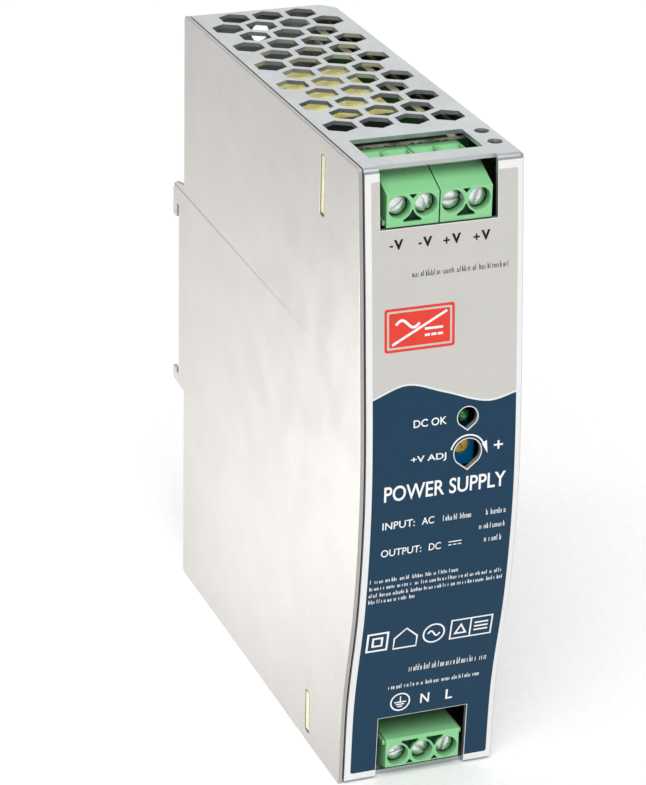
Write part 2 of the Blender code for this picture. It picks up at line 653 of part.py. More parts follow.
def build_terminals(case):
    groups = (("output", OUTPUT_FIRST_X, 4, OUTPUT_FRONT_Y, OUTPUT_BASE_Z, 1, OUTPUT_BOARD_Y),
              ("input", INPUT_FIRST_X, 3, INPUT_FRONT_Y, INPUT_BASE_Z, -1, INPUT_BOARD_Y))
    right_x = OUTPUT_FIRST_X + 2 * POLE_PITCH + 0.1
    output_face = (OUTPUT_FRONT_Y, OUTPUT_BASE_Z, 1, OUTPUT_BLOCK_HEIGHT)
    case.add("output_terminal_left",
             housing_mesh(OUTPUT_FIRST_X, 2, *output_face), "terminal_green")
    case.add("output_terminal_right",
             housing_mesh(right_x, 2, *output_face), "terminal_green")
    case.add("input_terminal",
             housing_mesh(INPUT_FIRST_X, 3, INPUT_FRONT_Y, INPUT_BASE_Z, -1, INPUT_BLOCK_HEIGHT),
             "terminal_green")
    for side, first_x, poles, front_y, base_z, up, board_y in groups:
        for pole in range(poles):
            x = first_x + pole * POLE_PITCH + (0.1 if side == "output" and pole > 1 else 0.0)
            z = base_z + up * POLE_HEIGHT
            tag = f"{side}_{pole + 1}"
            pivot = (x, front_y, z)
            case.add(f"terminal_screw_{tag}", terminal_screw(x, front_y, z), "plated_screw", pivot, smooth=True)
            case.add(f"clamp_cage_{tag}", clamp_cage(x, front_y, base_z, up), "plated_screw", pivot)
            case.add(f"contact_bar_{tag}", contact_bar(x, front_y, base_z, up, board_y), "tinned_copper")


# ---------------------------------------------------------------- boards

def pin_slots(first_x, poles, board_y, pin_z, shift=0.0):
    slots = []
    for pole in range(poles):
        x = first_x + pole * POLE_PITCH + (shift if pole > 1 else 0.0)
        slots.append(box((x - 0.9, board_y - 1, pin_z - 0.6), (x + 0.9, board_y + BOARD + 1, pin_z + 0.6)))
    return slots


def build_boards(case):
    back_x = MAIN_BOARD_X + BOARD
    outline = [(-4.0, 4.0), (-4.0, 121.0), (-75.5, 121.0), (-75.5, 88.0), (-96.0, 84.0), (-96.0, 60.0),
               (-75.5, 56.0), (-75.5, 4.0)]
    board = slab([outline], "X", MAIN_BOARD_X, back_x)
    holes = [rod((MAIN_BOARD_X - 1, y, z), (back_x + 1, y, z), 1.9, 16) for y, z in STANDOFFS]
    case.add("main_board", boolean(board, holes, "DIFFERENCE"), "board")

    tab_x = -HALF_WIDTH + 0.1
    far_x = MAIN_BOARD_X + BOARD
    top = [(tab_x, 111.0), (COVER_INNER_X + 0.4, 111.0), (COVER_INNER_X + 0.4, 107.5), (far_x, 107.5),
           (far_x, 124.1), (COVER_INNER_X + 0.4, 124.1), (COVER_INNER_X + 0.4, 122.0), (tab_x, 122.0)]
    plate = slab([top], "Y", OUTPUT_BOARD_Y, OUTPUT_BOARD_Y + BOARD)
    slots = pin_slots(OUTPUT_FIRST_X, 4, OUTPUT_BOARD_Y, OUTPUT_BASE_Z + 1.0, 0.1)
    case.add("output_terminal_board", boolean(plate, slots, "DIFFERENCE"), "board")

    bottom = [(tab_x, 2.5), (far_x, 2.5), (far_x, 17.0), (COVER_INNER_X + 0.4, 17.0),
              (COVER_INNER_X + 0.4, 10.6), (tab_x, 10.6)]
    plate = slab([bottom], "Y", INPUT_BOARD_Y, INPUT_BOARD_Y + BOARD)
    slots = pin_slots(INPUT_FIRST_X, 3, INPUT_BOARD_Y, INPUT_BASE_Z - 1.0)
    case.add("input_terminal_board", boolean(plate, slots, "DIFFERENCE"), "board")


def build_mounting(case):
    """Clinched standoffs through the right wall, and the insulation sheet behind the board."""
    for index, (y, z) in enumerate(STANDOFFS, 1):
        wall = HALF_WIDTH - 0.05
        profile = [(0, wall), (STANDOFF_FOOT, wall), (STANDOFF_FOOT, 14.9), (2.4, 14.9), (2.4, 12.75),
                   (1.5, 12.75), (1.5, 10.65), (3.0, 10.65), (3.0, 9.9), (2.4, 9.4), (0, 9.4)]
        mesh = turned(profile, 16, (0, y, z), (1, 0, 0))
        case.add(f"board_standoff_{index}", mesh, "zinc_steel", (0, y, z), smooth=True)
    sheet = box((13.5, -90.0, 2.5), (13.75, -3.0, 122.5))
    holes = [rod((13, y, z), (15, y, z), 2.8, 16) for y, z in STANDOFFS]
    case.add("insulation_sheet", boolean(sheet, holes, "DIFFERENCE"), "mylar")


# ---------------------------------------------------------------- front controls

def build_trimmer(case):
    """Trimmer with its slotted rotor facing the front, and the status lamp above it."""
    x, z = TRIMMER_AT
    body = beveled(box((x - 3.3, -98.3, z - 3.2), (x + 5.6, -93.0, z + 3.2)), 0.3)
    well = rod((x, -100, z), (x, -96.1, z), 2.35, 24)
    case.add("trimmer_body", boolean(body, [well], "DIFFERENCE"), "trimmer_blue")
    rotor = rod((x, -98.4, z), (x, -96.4, z), 2.1, 24)
    slot = box((x - 3, -99.5, z - 0.35), (x + 3, -97.7, z + 0.35))
    mesh = boolean(rotor, [slot], "DIFFERENCE")
    case.add("trimmer_rotor", mesh, "rotor_brass", (x, -98.4, z), smooth=True)


def build_lamp(case):
    x, z = LED_AT
    dome = [(1.5 * math.sin(math.radians(a)), 5.2 + 1.5 * math.cos(math.radians(a))) for a in range(0, 91, 15)]
    lens = turned(dome + [(1.5, 1.0), (1.9, 1.0), (1.9, 0), (0, 0)], 20, (x, -93.2, z), (0, -1, 0))
    case.add("status_lamp", lens, "led_green", smooth=True)


# ---------------------------------------------------------------- circuit parts

def build_transformer(case):
    low = (-9.6, -56.0, 94.0)
    high = (6.4, -30.0, 120.0)
    winding = slab([rounded_rectangle((low[1], low[2]), (high[1], high[2]), 3.0, 4)], "X", low[0], high[0])
    winding = boolean(winding, [box((-20, -48.5, 100.5), (20, -37.5, 113.5))], "DIFFERENCE")
    case.add("transformer_winding", winding, "yellow_tape")
    frame = box((-13.0, -61.0, 100.8), (10.2, -25.0, 113.2))
    sides = [box((-9.9, -56.3, 99), (6.7, -48.2, 115)), box((-9.9, -37.8, 99), (6.7, -29.7, 115))]
    case.add("transformer_core", boolean(frame, sides, "DIFFERENCE"), "ferrite")


def build_capacitors(case):
    profile = [(0, 18.2), (8.2, 18.2), (8.9, 17.4), (8.9, 15.6), (8.5, 15.0), (8.9, 14.4), (8.9, -17.4),
               (8.2, -18.2), (0, -18.2)]
    bulk = turned(profile, 28, (-0.5, -33.0, 66.0), (0, 0, -1))
    case.add("bulk_capacitor", bulk, "black_sleeve", smooth=True)
    for index, z in enumerate((93.5, 105.0), 1):
        profile = [(0, 20.0), (4.4, 20.0), (5.0, 19.4), (5.0, 1.8), (4.7, 1.4), (5.0, 1.0), (4.6, 0), (0, 0)]
        mesh = turned(profile, 24, (LEAD_GAP_X, -69.0, z), (-1, 0, 0))
        case.add(f"output_capacitor_{index}", mesh, "black_sleeve", smooth=True)
    film = beveled(box((-4.0, -61.0, 20.0), (LEAD_GAP_X, -50.0, 38.0)), 0.6)
    case.add("filter_capacitor", film, "box_grey")
    disc = turned([(0, 2.0), (3.4, 2.0), (4.5, 1.0), (4.5, -1.0), (3.4, -2.0), (0, -2.0)], 20,
                  (5.8, -60.0, 47.0), (0, 1, 0))
    case.add("safety_capacitor", disc, "ceramic_blue", smooth=True)


def build_input_parts(case):
    angles = [math.radians(a) for a in range(90, -270, -30)]
    ring = [(8.3 + 3.6 * math.cos(a), 3.6 * math.sin(a)) for a in angles]
    choke = turned(ring, 28, (5.8, -30.0, 24.0), (1, 0, 0), closed=True)
    case.add("filter_choke", choke, "copper_wire", smooth=True)
    fuse = turned([(0, 10), (2.6, 10), (2.6, 5.4), (2.4, 5.4), (2.4, -5.4), (2.6, -5.4), (2.6, -10), (0, -10)],
                  20, (7.6, -70.0, 33.0), (0, 0, 1))
    case.add("fuse", fuse, "fuse_body", smooth=True)
    disc = turned([(0, 1.8), (3.6, 1.8), (4.4, 1.0), (4.4, -1.0), (3.6, -1.8), (0, -1.8)], 20,
                  (5.8, -70.0, 50.0), (0, 1, 0))
    case.add("inrush_thermistor", disc, "epoxy_black", smooth=True)
    bridge = beveled(box((-4.0, -14.5, 18.0), (LEAD_GAP_X, -11.0, 38.0)), 0.5)
    case.add("bridge_rectifier", bridge, "epoxy_black")


def package(x, y, z, facing):
    """Power transistor package: metal tab and moulded body, standing against a heatsink."""
    def block(left, near, far):
        low_y, high_y = sorted((y + facing * near, y + facing * far))
        return box((left, low_y, z - 5), (x + 6.0, high_y, z + 5))

    hole = rod((x - 6.0, y - 4, z), (x - 6.0, y + 4, z), 1.8, 14)
    package_mesh = boolean(block(x - 8.5, 0.0, 1.2), [block(x - 3.0, 0.6, 4.4)], "UNION")
    return boolean(package_mesh, [hole], "DIFFERENCE")


def build_power_parts(case):
    """Heatsink plates with the switching transistor and the output rectifier."""
    rear_plate = [(-12.0, -5.0), (LEAD_GAP_X, -5.0), (LEAD_GAP_X, -7.0), (-10.0, -7.0), (-10.0, -16.0),
                  (-12.0, -16.0)]
    case.add("switch_heatsink", slab([rear_plate], "Z", 46.0, 84.0), "heatsink")
    case.add("switch_transistor", package(4.0, -7.3, 64.0, -1), "epoxy_black")
    fin = [(-11.0, -12.0), (-9.0, -12.0), (-9.0, -21.5), (LEAD_GAP_X, -21.5), (LEAD_GAP_X, -23.5),
           (-11.0, -23.5)]
    case.add("output_heatsink", slab([fin], "Z", 88.0, 118.0), "heatsink")
    case.add("output_rectifier", package(4.0, -21.2, 102.0, 1), "epoxy_black")
    board = box((-6.0, -84.5, 40.0), (LEAD_GAP_X, -83.3, 58.0))
    chip = box((-1.0, -86.3, 46.0), (5.0, -84.0, 52.0))
    case.add("control_board", boolean(board, [chip], "UNION"), "board")


def main():
    clear_scene()
    case = Case()
    build_chassis(case)
    build_side_cover(case)
    build_front_label(case)
    build_cover_screws(case)
    build_rail_bracket(case)
    build_rail_latch(case)
    build_latch_spring(case)
    build_rivets(case)
    build_terminals(case)
    build_boards(case)
    build_mounting(case)
    build_trimmer(case)
    build_lamp(case)
    build_transformer(case)
    build_capacitors(case)
    build_input_parts(case)
    build_power_parts(case)


main()
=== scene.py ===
"""Looks of a slim DIN rail power supply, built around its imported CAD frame.

Shapes are laid out in millimetres from the case datum: x runs across from the middle of the case,
y runs back from the outer face of the rear wall, so the front is at negative y, and z runs up from
the case bottom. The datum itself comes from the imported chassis.
"""

import json
import math
import random

import bmesh
import bpy
from mathutils import Matrix, Vector

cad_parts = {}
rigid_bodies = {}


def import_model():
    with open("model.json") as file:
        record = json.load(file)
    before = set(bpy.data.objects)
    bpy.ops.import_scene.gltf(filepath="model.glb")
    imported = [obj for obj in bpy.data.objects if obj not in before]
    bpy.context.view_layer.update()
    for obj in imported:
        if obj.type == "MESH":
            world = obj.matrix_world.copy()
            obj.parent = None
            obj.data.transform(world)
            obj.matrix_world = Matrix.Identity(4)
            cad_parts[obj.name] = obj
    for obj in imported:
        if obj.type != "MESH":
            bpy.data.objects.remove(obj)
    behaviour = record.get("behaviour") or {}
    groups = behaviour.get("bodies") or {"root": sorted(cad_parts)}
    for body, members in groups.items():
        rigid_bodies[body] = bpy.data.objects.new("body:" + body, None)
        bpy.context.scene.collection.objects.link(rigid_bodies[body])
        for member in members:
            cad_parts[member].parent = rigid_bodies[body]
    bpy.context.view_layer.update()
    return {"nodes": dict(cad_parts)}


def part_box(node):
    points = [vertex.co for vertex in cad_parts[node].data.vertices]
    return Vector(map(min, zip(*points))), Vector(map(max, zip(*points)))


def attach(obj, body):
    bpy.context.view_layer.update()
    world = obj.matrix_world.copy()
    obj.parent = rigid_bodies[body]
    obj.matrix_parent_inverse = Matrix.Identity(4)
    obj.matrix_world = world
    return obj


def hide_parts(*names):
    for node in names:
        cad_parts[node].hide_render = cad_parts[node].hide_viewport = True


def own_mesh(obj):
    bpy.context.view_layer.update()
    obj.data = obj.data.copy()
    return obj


for item in list(bpy.data.objects):
    bpy.data.objects.remove(item, do_unlink=True)

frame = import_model()

MM = 0.001
WELD_DISTANCE = 2e-6
SHEET = 0.8
CASE_HEIGHT = 125.2
HALF_WIDTH = 16.0
COVER_INNER_X = -HALF_WIDTH + SHEET
CHASSIS_LEFT_X = -14.95
WALL_INNER_X = HALF_WIDTH - SHEET
BEND_RADIUS = 1.0
FRONT_STATIONS = (
    (0.0, 95.0), (18.0, 96.2), (40.0, 100.4), (64.0, 102.0), (95.0, 100.0), (CASE_HEIGHT, 97.2))
WAVE_STATIONS = (
    (-14.5, 82.3), (-13.8, 82.5), (-7.0, 84.6), (0.1, 82.5), (8.8, 79.7), (14.9, 80.8), (15.6, 81.0))

EAR_Y = 7.1
SEAT_Y = 3.5
RAIL_SLOT_Y = 4.9
EAR_TOP_Z = 88.9
EAR_BOTTOM_Z = 42.6
HOOK_TIP_Z = 80.2
HOOK_ROOT_Z = 83.3
LOWER_EAR_TOP_Z = 45.9

BEYOND_FRONT_Y = -110.0
OUTPUT_CUTOUT = (-12.1, 10.6, 113.8)
OUTPUT_CUTOUT_BACK_Y = -96.1
INPUT_CUTOUT = (-8.5, 9.8, 13.3)
INPUT_CUTOUT_BACK_Y = -93.9
TOP_WINDOW = ((-12.0, -92.0), (10.0, -82.0))
BOTTOM_WINDOW = ((-8.0, -93.0), (9.4, -78.0))
REAR_SLOT = ((-1.9, 118.4), (1.9, 122.3))
TOP_HOLES = ((13.1, -84.0), (13.1, -90.1))
TOP_HOLE_RADIUS = 1.4
VENT_ROWS = 12
VENT_FIRST_Y = -5.1
VENT_ROW_PITCH = 6.27
VENT_COLUMN_PITCH = 7.07
VENT_RADIUS = 3.3

LED_AT = (4.9, 76.9)
LED_HOLE_RADIUS = 1.95
LAMP_DROP = 0.7
TRIMMER_AT = (5.0, 70.0)
TRIMMER_HOLE_RADIUS = 2.65
COVER_SCREWS = ((-10.5, 101.0), (-10.5, 24.0))
BRACKET_RIVETS = ((-11.2, 75.0), (11.2, 55.0))
RIVET_HOLE_RADIUS = 1.45
SCREW_HOLE_RADIUS = 1.55
STANDOFFS = ((-8.0, 9.0), (-8.0, 117.0), (-70.0, 62.0))

POLE_PITCH = 5.08
BLOCK_DEPTH = 17.3
POLE_HEIGHT = 3.7
WELL_RADIUS = 2.15
SCREW_SEAT_DEPTH = 2.8
RIGHT_BLOCK_SHIFT = 0.1
OUTPUT_BLOCK = {"first_x": -8.36, "front_y": -98.2, "base_z": 114.0, "up": 1, "height": 8.8}
INPUT_BLOCK = {"first_x": -4.2, "front_y": -95.8, "base_z": 8.3, "up": -1, "height": 8.2}
OUTPUT_BOARD_Y = -80.6
INPUT_BOARD_Y = -78.3
BOARD_THICKNESS = 1.6
MAIN_BOARD_X = 12.5

FILM_LIFT = 0.12
FILM_THICKNESS = 0.12
INK_THICKNESS = 0.02
FILM_X = (-14.9, 15.5)
FILM_Z = (0.5, 124.2)
PANEL_X = (-13.7, 14.45)
PANEL_Z = (1.9, 122.7)

WORLD_LIGHT = 0.36
SUNS = (("key", (-0.16, -0.56, 0.81), 2.5, 60.0), ("fill", (0.50, 0.60, 0.50), 0.7, 60.0))
AREAS = (("low_left", (-0.14, -0.02, -0.030), (-0.016, -0.045, -0.045), 0.05, 0.20),)

chassis_low, chassis_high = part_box("chassis")
DATUM = Vector((chassis_high.x - HALF_WIDTH * MM, chassis_high.y - EAR_Y * MM, chassis_low.z))


# ---------------------------------------------------------------- mesh helpers

def scratch_object(data):
    obj = bpy.data.objects.new("Scratch", data)
    bpy.context.scene.collection.objects.link(obj)
    return obj


def evaluated_mesh(obj):
    """The object's mesh with its modifiers, after which the object is removed."""
    graph = bpy.context.evaluated_depsgraph_get()
    mesh = bpy.data.meshes.new_from_object(obj.evaluated_get(graph), depsgraph=graph)
    bpy.data.objects.remove(obj, do_unlink=True)
    return mesh


def mesh_from(bm):
    mesh = bpy.data.meshes.new("Shape")
    bm.to_mesh(mesh)
    bm.free()
    return mesh


def merged(meshes):
    bm = bmesh.new()
    for mesh in meshes:
        bm.from_mesh(mesh)
    return mesh_from(bm)


def welded(mesh, distance=WELD_DISTANCE, outward=False):
    """The mesh with points closer than a distance joined, and its faces turned outward if asked."""
    bm = bmesh.new()
    bm.from_mesh(mesh)
    bmesh.ops.remove_doubles(bm, verts=bm.verts, dist=distance)
    if outward:
        bmesh.ops.recalc_face_normals(bm, faces=bm.faces)
    return mesh_from(bm)


def modified(mesh, kind, **settings):
    """The mesh after one modifier with these settings."""
    obj = scratch_object(mesh)
    modifier = obj.modifiers.new(kind, kind)
    for key, value in settings.items():
        setattr(modifier, key, value)
    return evaluated_mesh(obj)


def boolean(mesh, tools, operation="DIFFERENCE", tools_overlap=False):
    tool = scratch_object(merged(tools))
    result = modified(mesh, "BOOLEAN", operation=operation, solver="EXACT", use_self=tools_overlap,
                      object=tool)
    bpy.data.objects.remove(tool, do_unlink=True)
    return welded(result)


def rounded(mesh, width=0.12, segments=2, angle=45.0, flat=False):
    """Small rounds on the sharp edges, with normals that keep large faces flat, or all shaded flat."""
    mesh = modified(mesh, "BEVEL", width=width * MM, segments=segments, limit_method="ANGLE",
                    angle_limit=math.radians(angle), use_clamp_overlap=True)
    if flat:
        mesh.shade_flat()
        return mesh
    mesh.shade_smooth()
    mesh.set_sharp_from_angle(angle=math.radians(50))
    return modified(mesh, "WEIGHTED_NORMAL", keep_sharp=True)


def box(low, high):
    low = Vector(low) * MM
    high = Vector(high) * MM
    bm = bmesh.new()
    bmesh.ops.create_cube(bm, size=1.0)
    bmesh.ops.scale(bm, vec=high - low, verts=bm.verts)
    bmesh.ops.translate(bm, vec=(low + high) / 2, verts=bm.verts)
    return mesh_from(bm)


def rod(start, end, radius, segments=40, end_radius=None):
    start = Vector(start) * MM
    end = Vector(end) * MM
    turn = (end - start).to_track_quat("Z", "Y").to_matrix().to_4x4()
    bm = bmesh.new()
    bmesh.ops.create_cone(
        bm, cap_ends=True, segments=segments, depth=(end - start).length,
        radius1=radius * MM, radius2=(radius if end_radius is None else end_radius) * MM,
        matrix=Matrix.Translation((start + end) / 2) @ turn)
    return mesh_from(bm)


def slab(loops, axis, low, high):
    """A flat outline (loops after the first are holes) thickened along an axis from low to high."""
    curve = bpy.data.curves.new("Outline", "CURVE")
    curve.dimensions = "2D"
    curve.fill_mode = "BOTH"
    curve.extrude = (high - low) / 2 * MM
    for loop in loops:
        spline = curve.splines.new("POLY")
        spline.points.add(len(loop) - 1)
        for point, (u, v) in zip(spline.points, loop):
            point.co = (u * MM, v * MM, 0.0, 1.0)
        spline.use_cyclic_u = True
    mesh = evaluated_mesh(scratch_object(curve))
    middle = (high + low) / 2 * MM
    frames = {
        "X": Matrix(((0, 0, 1, middle), (1, 0, 0, 0), (0, 1, 0, 0), (0, 0, 0, 1))),
        "Y": Matrix(((1, 0, 0, 0), (0, 0, -1, middle), (0, 1, 0, 0), (0, 0, 0, 1))),
        "Z": Matrix(((1, 0, 0, 0), (0, 1, 0, 0), (0, 0, 1, middle), (0, 0, 0, 1))),
    }
    mesh.transform(frames[axis])
    return welded(mesh, 1e-6, outward=True)


def turned(profile, segments, origin=(0, 0, 0), axis=(0, 0, 1), closed=False):
    """A profile of (radius, height) pairs, top to bottom, turned about an axis through origin."""
    mesh = bpy.data.meshes.new("Profile")
    points = [(radius * MM, 0.0, height * MM) for radius, height in profile]
    edges = [(i, i + 1) for i in range(len(points) - 1)]
    if closed:
        edges.append((len(points) - 1, 0))
    mesh.from_pydata(points, edges, [])
    mesh = modified(mesh, "SCREW", steps=segments, render_steps=segments, use_merge_vertices=True,
                    merge_threshold=1e-5)
    turn = Vector(axis).to_track_quat("Z", "Y").to_matrix().to_4x4()
    mesh.transform(Matrix.Translation(Vector(origin) * MM) @ turn)
    return mesh


def wire(points, radius, cyclic=False, resolution=3):
    """A round wire along points."""
    curve = bpy.data.curves.new("Wire", "CURVE")
    curve.dimensions = "3D"
    curve.bevel_depth = radius * MM
    curve.bevel_resolution = resolution
    curve.use_fill_caps = not cyclic
    spline = curve.splines.new("POLY")
    spline.points.add(len(points) - 1)
    for point, place in zip(spline.points, points):
        point.co = (*(Vector(place) * MM), 1.0)
    spline.use_cyclic_u = cyclic
    return welded(evaluated_mesh(scratch_object(curve)))


def arc(u, v, radius, start, stop, steps):
    angles = [math.radians(start + (stop - start) * i / steps) for i in range(steps + 1)]
    return [(u + radius * math.cos(a), v + radius * math.sin(a)) for a in angles]


def rounded_rectangle(low, high, radius, steps=5):
    (u0, v0), (u1, v1) = low, high
    return (arc(u1 - radius, v1 - radius, radius, 0, 90, steps)
            + arc(u0 + radius, v1 - radius, radius, 90, 180, steps)
            + arc(u0 + radius, v0 + radius, radius, 180, 270, steps)
            + arc(u1 - radius, v0 + radius, radius, 270, 360, steps))


def teardrop(centre, radius, steps=28):
    """A round hole whose lower side runs down to a blunt point."""
    return arc(*centre, radius, -40, 220, steps) + [(centre[0], centre[1] - radius * 1.25)]


def mirrored(half):
    """A profile made of its upper half and the mirror of that half."""
    return half + [(radius, -height) for radius, height in reversed(half) if height]


def through(stations, position):
    """A smooth curve through (position, value) stations."""
    slopes = []
    for i in range(len(stations)):
        before = stations[max(i - 1, 0)]
        after = stations[min(i + 1, len(stations) - 1)]
        slopes.append((after[1] - before[1]) / (after[0] - before[0]))
    index = 0
    while index < len(stations) - 2 and position > stations[index + 1][0]:
        index += 1
    (p0, v0), (p1, v1) = stations[index], stations[index + 1]
    span = p1 - p0
    t = min(max((position - p0) / span, 0.0), 1.0)
    bend = (2 * t**3 - 3 * t**2 + 1) * v0 + (3 * t**2 - 2 * t**3) * v1
    return bend + (t**3 - 2 * t**2 + t) * span * slopes[index] + (t**3 - t**2) * span * slopes[index + 1]


def front_depth(z):
    return through(FRONT_STATIONS, z)


def front_line(low_z, high_z, steps):
    heights = [low_z + (high_z - low_z) * i / steps for i in range(steps + 1)]
    return [(-front_depth(z), z) for z in heights]


# ---------------------------------------------------------------- materials

FINISHES = {}


class Finish:
    """A material whose nodes are added by method; every pattern lies in the piece's own space."""

    def __init__(self, name, roughness, metallic=0.0, **sockets):
        self.material = bpy.data.materials.new(name)
        self.material.use_nodes = True
        self.tree = self.material.node_tree
        self.shader = self.tree.nodes["Principled BSDF"]
        self.shader.inputs["Roughness"].default_value = roughness
        self.shader.inputs["Metallic"].default_value = metallic
        for key, value in sockets.items():
            self.shader.inputs[key.replace("_", " ")].default_value = value
        self.place = self.add("TexCoord").outputs["Object"]
        FINISHES[name] = self.material

    def add(self, kind, inputs=None, **settings):
        node = self.tree.nodes.new("ShaderNode" + kind)
        for key, value in settings.items():
            setattr(node, key, value)
        for key, value in (inputs or {}).items():
            if isinstance(value, bpy.types.NodeSocket):
                self.tree.links.new(value, node.inputs[key])
            else:
                node.inputs[key].default_value = value
        return node

    def noise(self, size, low=0.0, high=1.0, detail=2.0, stretch=None, window=(0.35, 0.65)):
        """Noise with features of a size in mm, spread from low to high."""
        place = self.place
        if stretch:
            place = self.add("Mapping", {"Vector": place, "Scale": stretch}).outputs["Vector"]
        fac = self.add("TexNoise", {"Vector": place, "Scale": 1.0 / (size * MM), "Detail": detail})
        return self.spread(fac.outputs["Fac"], window[0], window[1], low, high)

    def spread(self, value, from_low, from_high, low, high):
        return self.add("MapRange", {"Value": value, "From Min": from_low, "From Max": from_high,
                                     "To Min": low, "To Max": high}).outputs["Result"]

    def maths(self, operation, first, second=0.0):
        return self.add("Math", {0: first, 1: second}, operation=operation).outputs[0]

    def mix(self, factor, first, second):
        """Mix two colours, each an (r, g, b) or a socket."""
        first, second = [(*c, 1.0) if isinstance(c, tuple) else c for c in (first, second)]
        return self.add("Mix", {0: factor, 6: first, 7: second}, data_type="RGBA").outputs[2]

    def grained(self, fine, cloud, share, colour, factors):
        """A colour with fine grain between two shades, clouded by a share towards a third."""
        low, high, clouded = (tint(colour, factor) for factor in factors)
        return self.mix(self.maths("MULTIPLY", cloud, share), self.mix(fine, low, high), clouded)

    def colour(self, socket):
        self.tree.links.new(socket, self.shader.inputs["Base Color"])

    def rough(self, socket):
        self.tree.links.new(socket, self.shader.inputs["Roughness"])

    def bump(self, height, distance, strength):
        """Relief of a height socket, with its depth in mm."""
        node = self.add("Bump", {"Height": height, "Distance": distance * MM, "Strength": strength})
        self.tree.links.new(node.outputs["Normal"], self.shader.inputs["Normal"])


def tint(colour, factor):
    return tuple(min(max(c * factor, 0.0), 1.0) for c in colour)


def sheet_metal(name, colour, roughness, metallic):
    """Plated sheet: fine grain, faint cloudiness and slight wear."""
    f = Finish(name, roughness, metallic)
    grain = f.noise(0.22, detail=3.0)
    f.colour(f.grained(grain, f.noise(14.0), 0.35, colour, (0.94, 1.05, 0.90)))
    f.rough(f.maths("ADD", f.noise(0.5, -0.05, 0.05), f.noise(9.0, roughness - 0.04, roughness + 0.05)))
    f.bump(grain, 0.004, 0.5)


def bare_metal(name, colour, roughness, stretch=None, depth=0.003):
    """Bare or plated metal with fine grain, drawn out into streaks where a stretch is given."""
    f = Finish(name, roughness, 1.0)
    streaks = f.noise(0.08, detail=3.0, stretch=stretch)
    f.colour(f.grained(streaks, f.noise(1.6, detail=3.0), 0.4, colour, (0.86, 1.08, 0.78)))
    f.rough(f.noise(0.35, roughness - 0.07, roughness + 0.1))
    f.bump(streaks, depth, 0.5)


def plastic(name, colour, roughness, factors=(0.93, 1.06, 0.88), well=None, **sockets):
    """Moulded plastic: fine texture and slight colour drift, with painted shade in wells if a well is given.

    A well is the colour of the painted shade deep inside and the reach in mm over which the plastic darkens
    to it.
    """
    f = Finish(name, roughness, **sockets)
    fine = f.noise(0.12, detail=3.0)
    base = f.grained(fine, f.noise(3.5), 0.5, colour, factors)
    if well:
        dark, reach = well
        # Painted shade: ambient occlusion darkens the plastic towards the well colour in wells and crevices.
        painted_shade_ao = f.add("AmbientOcclusion", {"Distance": reach * MM}, samples=8).outputs["AO"]
        base = f.mix(f.spread(painted_shade_ao, 0.25, 0.85, 0.0, 1.0), dark, base)
    f.colour(base)
    f.rough(f.noise(0.6, roughness - 0.06, roughness + 0.08))
    f.bump(fine, 0.003, 0.5)


def printed_film(name, colour, speckle=0.05, roughness=0.34, metallic=0.0):
    """Printed label film: ink over a finely speckled base."""
    f = Finish(name, roughness, metallic, Specular_IOR_Level=0.15)
    fine = f.noise(0.16, detail=3.0, window=(0.3, 0.7))
    f.colour(f.grained(fine, f.noise(10.0), 0.25, colour, (1.0 - speckle, 1.0 + speckle, 0.93)))
    f.rough(f.noise(0.4, roughness - 0.05, roughness + 0.07))
    f.bump(fine, 0.003, 0.35)


def clouded(name, roughness, colours, size, detail, rough, relief, metallic=0.0, **sockets):
    """A finish that drifts between two colours over a size in mm, with uneven gloss and relief."""
    f = Finish(name, roughness, metallic, **sockets)
    cloud = f.noise(size, detail=detail)
    f.colour(f.mix(cloud, *colours))
    f.rough(f.noise(*rough))
    f.bump(cloud, *relief)


def shrink_sleeve(name):
    """Black sleeve, slightly wrinkled where it shrank onto the can."""
    f = Finish(name, 0.32, 0.0, Coat_Weight=0.3, Coat_Roughness=0.2)
    f.colour(f.mix(f.noise(0.5, detail=3.0), (0.012, 0.012, 0.014), (0.03, 0.03, 0.034)))
    f.rough(f.noise(1.2, 0.24, 0.42))
    f.bump(f.noise(1.5, detail=3.0), 0.03, 0.4)


def circuit_board(name, face_axis):
    """Green solder mask with copper tracks beneath it, and a bare glass-fibre edge."""
    f = Finish(name, 0.4, 0.0, Coat_Weight=0.3, Coat_Roughness=0.2)
    green = (0.004, 0.085, 0.03)
    tracks = f.add("TexBrick", {"Vector": f.place, "Scale": 260.0, "Mortar Size": 0.018, "Mortar Smooth": 0.1,
                                "Brick Width": 0.9, "Row Height": 0.32}).outputs["Fac"]
    mask = f.mix(f.maths("MULTIPLY", f.noise(0.4), 0.6), green, tint(green, 1.5))
    mask = f.mix(f.maths("MULTIPLY", tracks, 0.6), mask, (0.03, 0.22, 0.07))
    fibre = f.mix(f.noise(1.0, detail=3.0), (0.50, 0.44, 0.25), (0.68, 0.62, 0.42))
    normal = f.add("NewGeometry").outputs["True Normal"]
    along = f.add("SeparateXYZ", {0: normal}).outputs[face_axis]
    on_face = f.maths("GREATER_THAN", f.maths("ABSOLUTE", along), 0.5)
    f.colour(f.mix(on_face, fibre, mask))
    f.rough(f.noise(0.7, 0.32, 0.5))
    f.bump(tracks, 0.02, 0.4)


def tape_wrap(name, tape_width):
    """Yellow polyester tape: overlapping turns with slight wrinkles."""
    f = Finish(name, 0.3, 0.0, Coat_Weight=0.5, Coat_Roughness=0.12)
    along = f.add("SeparateXYZ", {0: f.place}).outputs[0]
    turns = f.maths("FRACT", f.maths("MULTIPLY", along, 1.0 / (tape_width * MM)))
    edge = f.spread(turns, 0.0, 0.06, 0.0, 1.0)
    wrinkles = f.noise(2.2, detail=3.0)
    base = f.mix(wrinkles, (0.80, 0.70, 0.16), (0.93, 0.86, 0.34))
    f.colour(f.mix(edge, (0.55, 0.45, 0.08), base))
    f.rough(f.noise(1.0, 0.22, 0.42))
    f.bump(f.maths("ADD", f.maths("MULTIPLY", wrinkles, 0.5), edge), 0.08, 0.6)


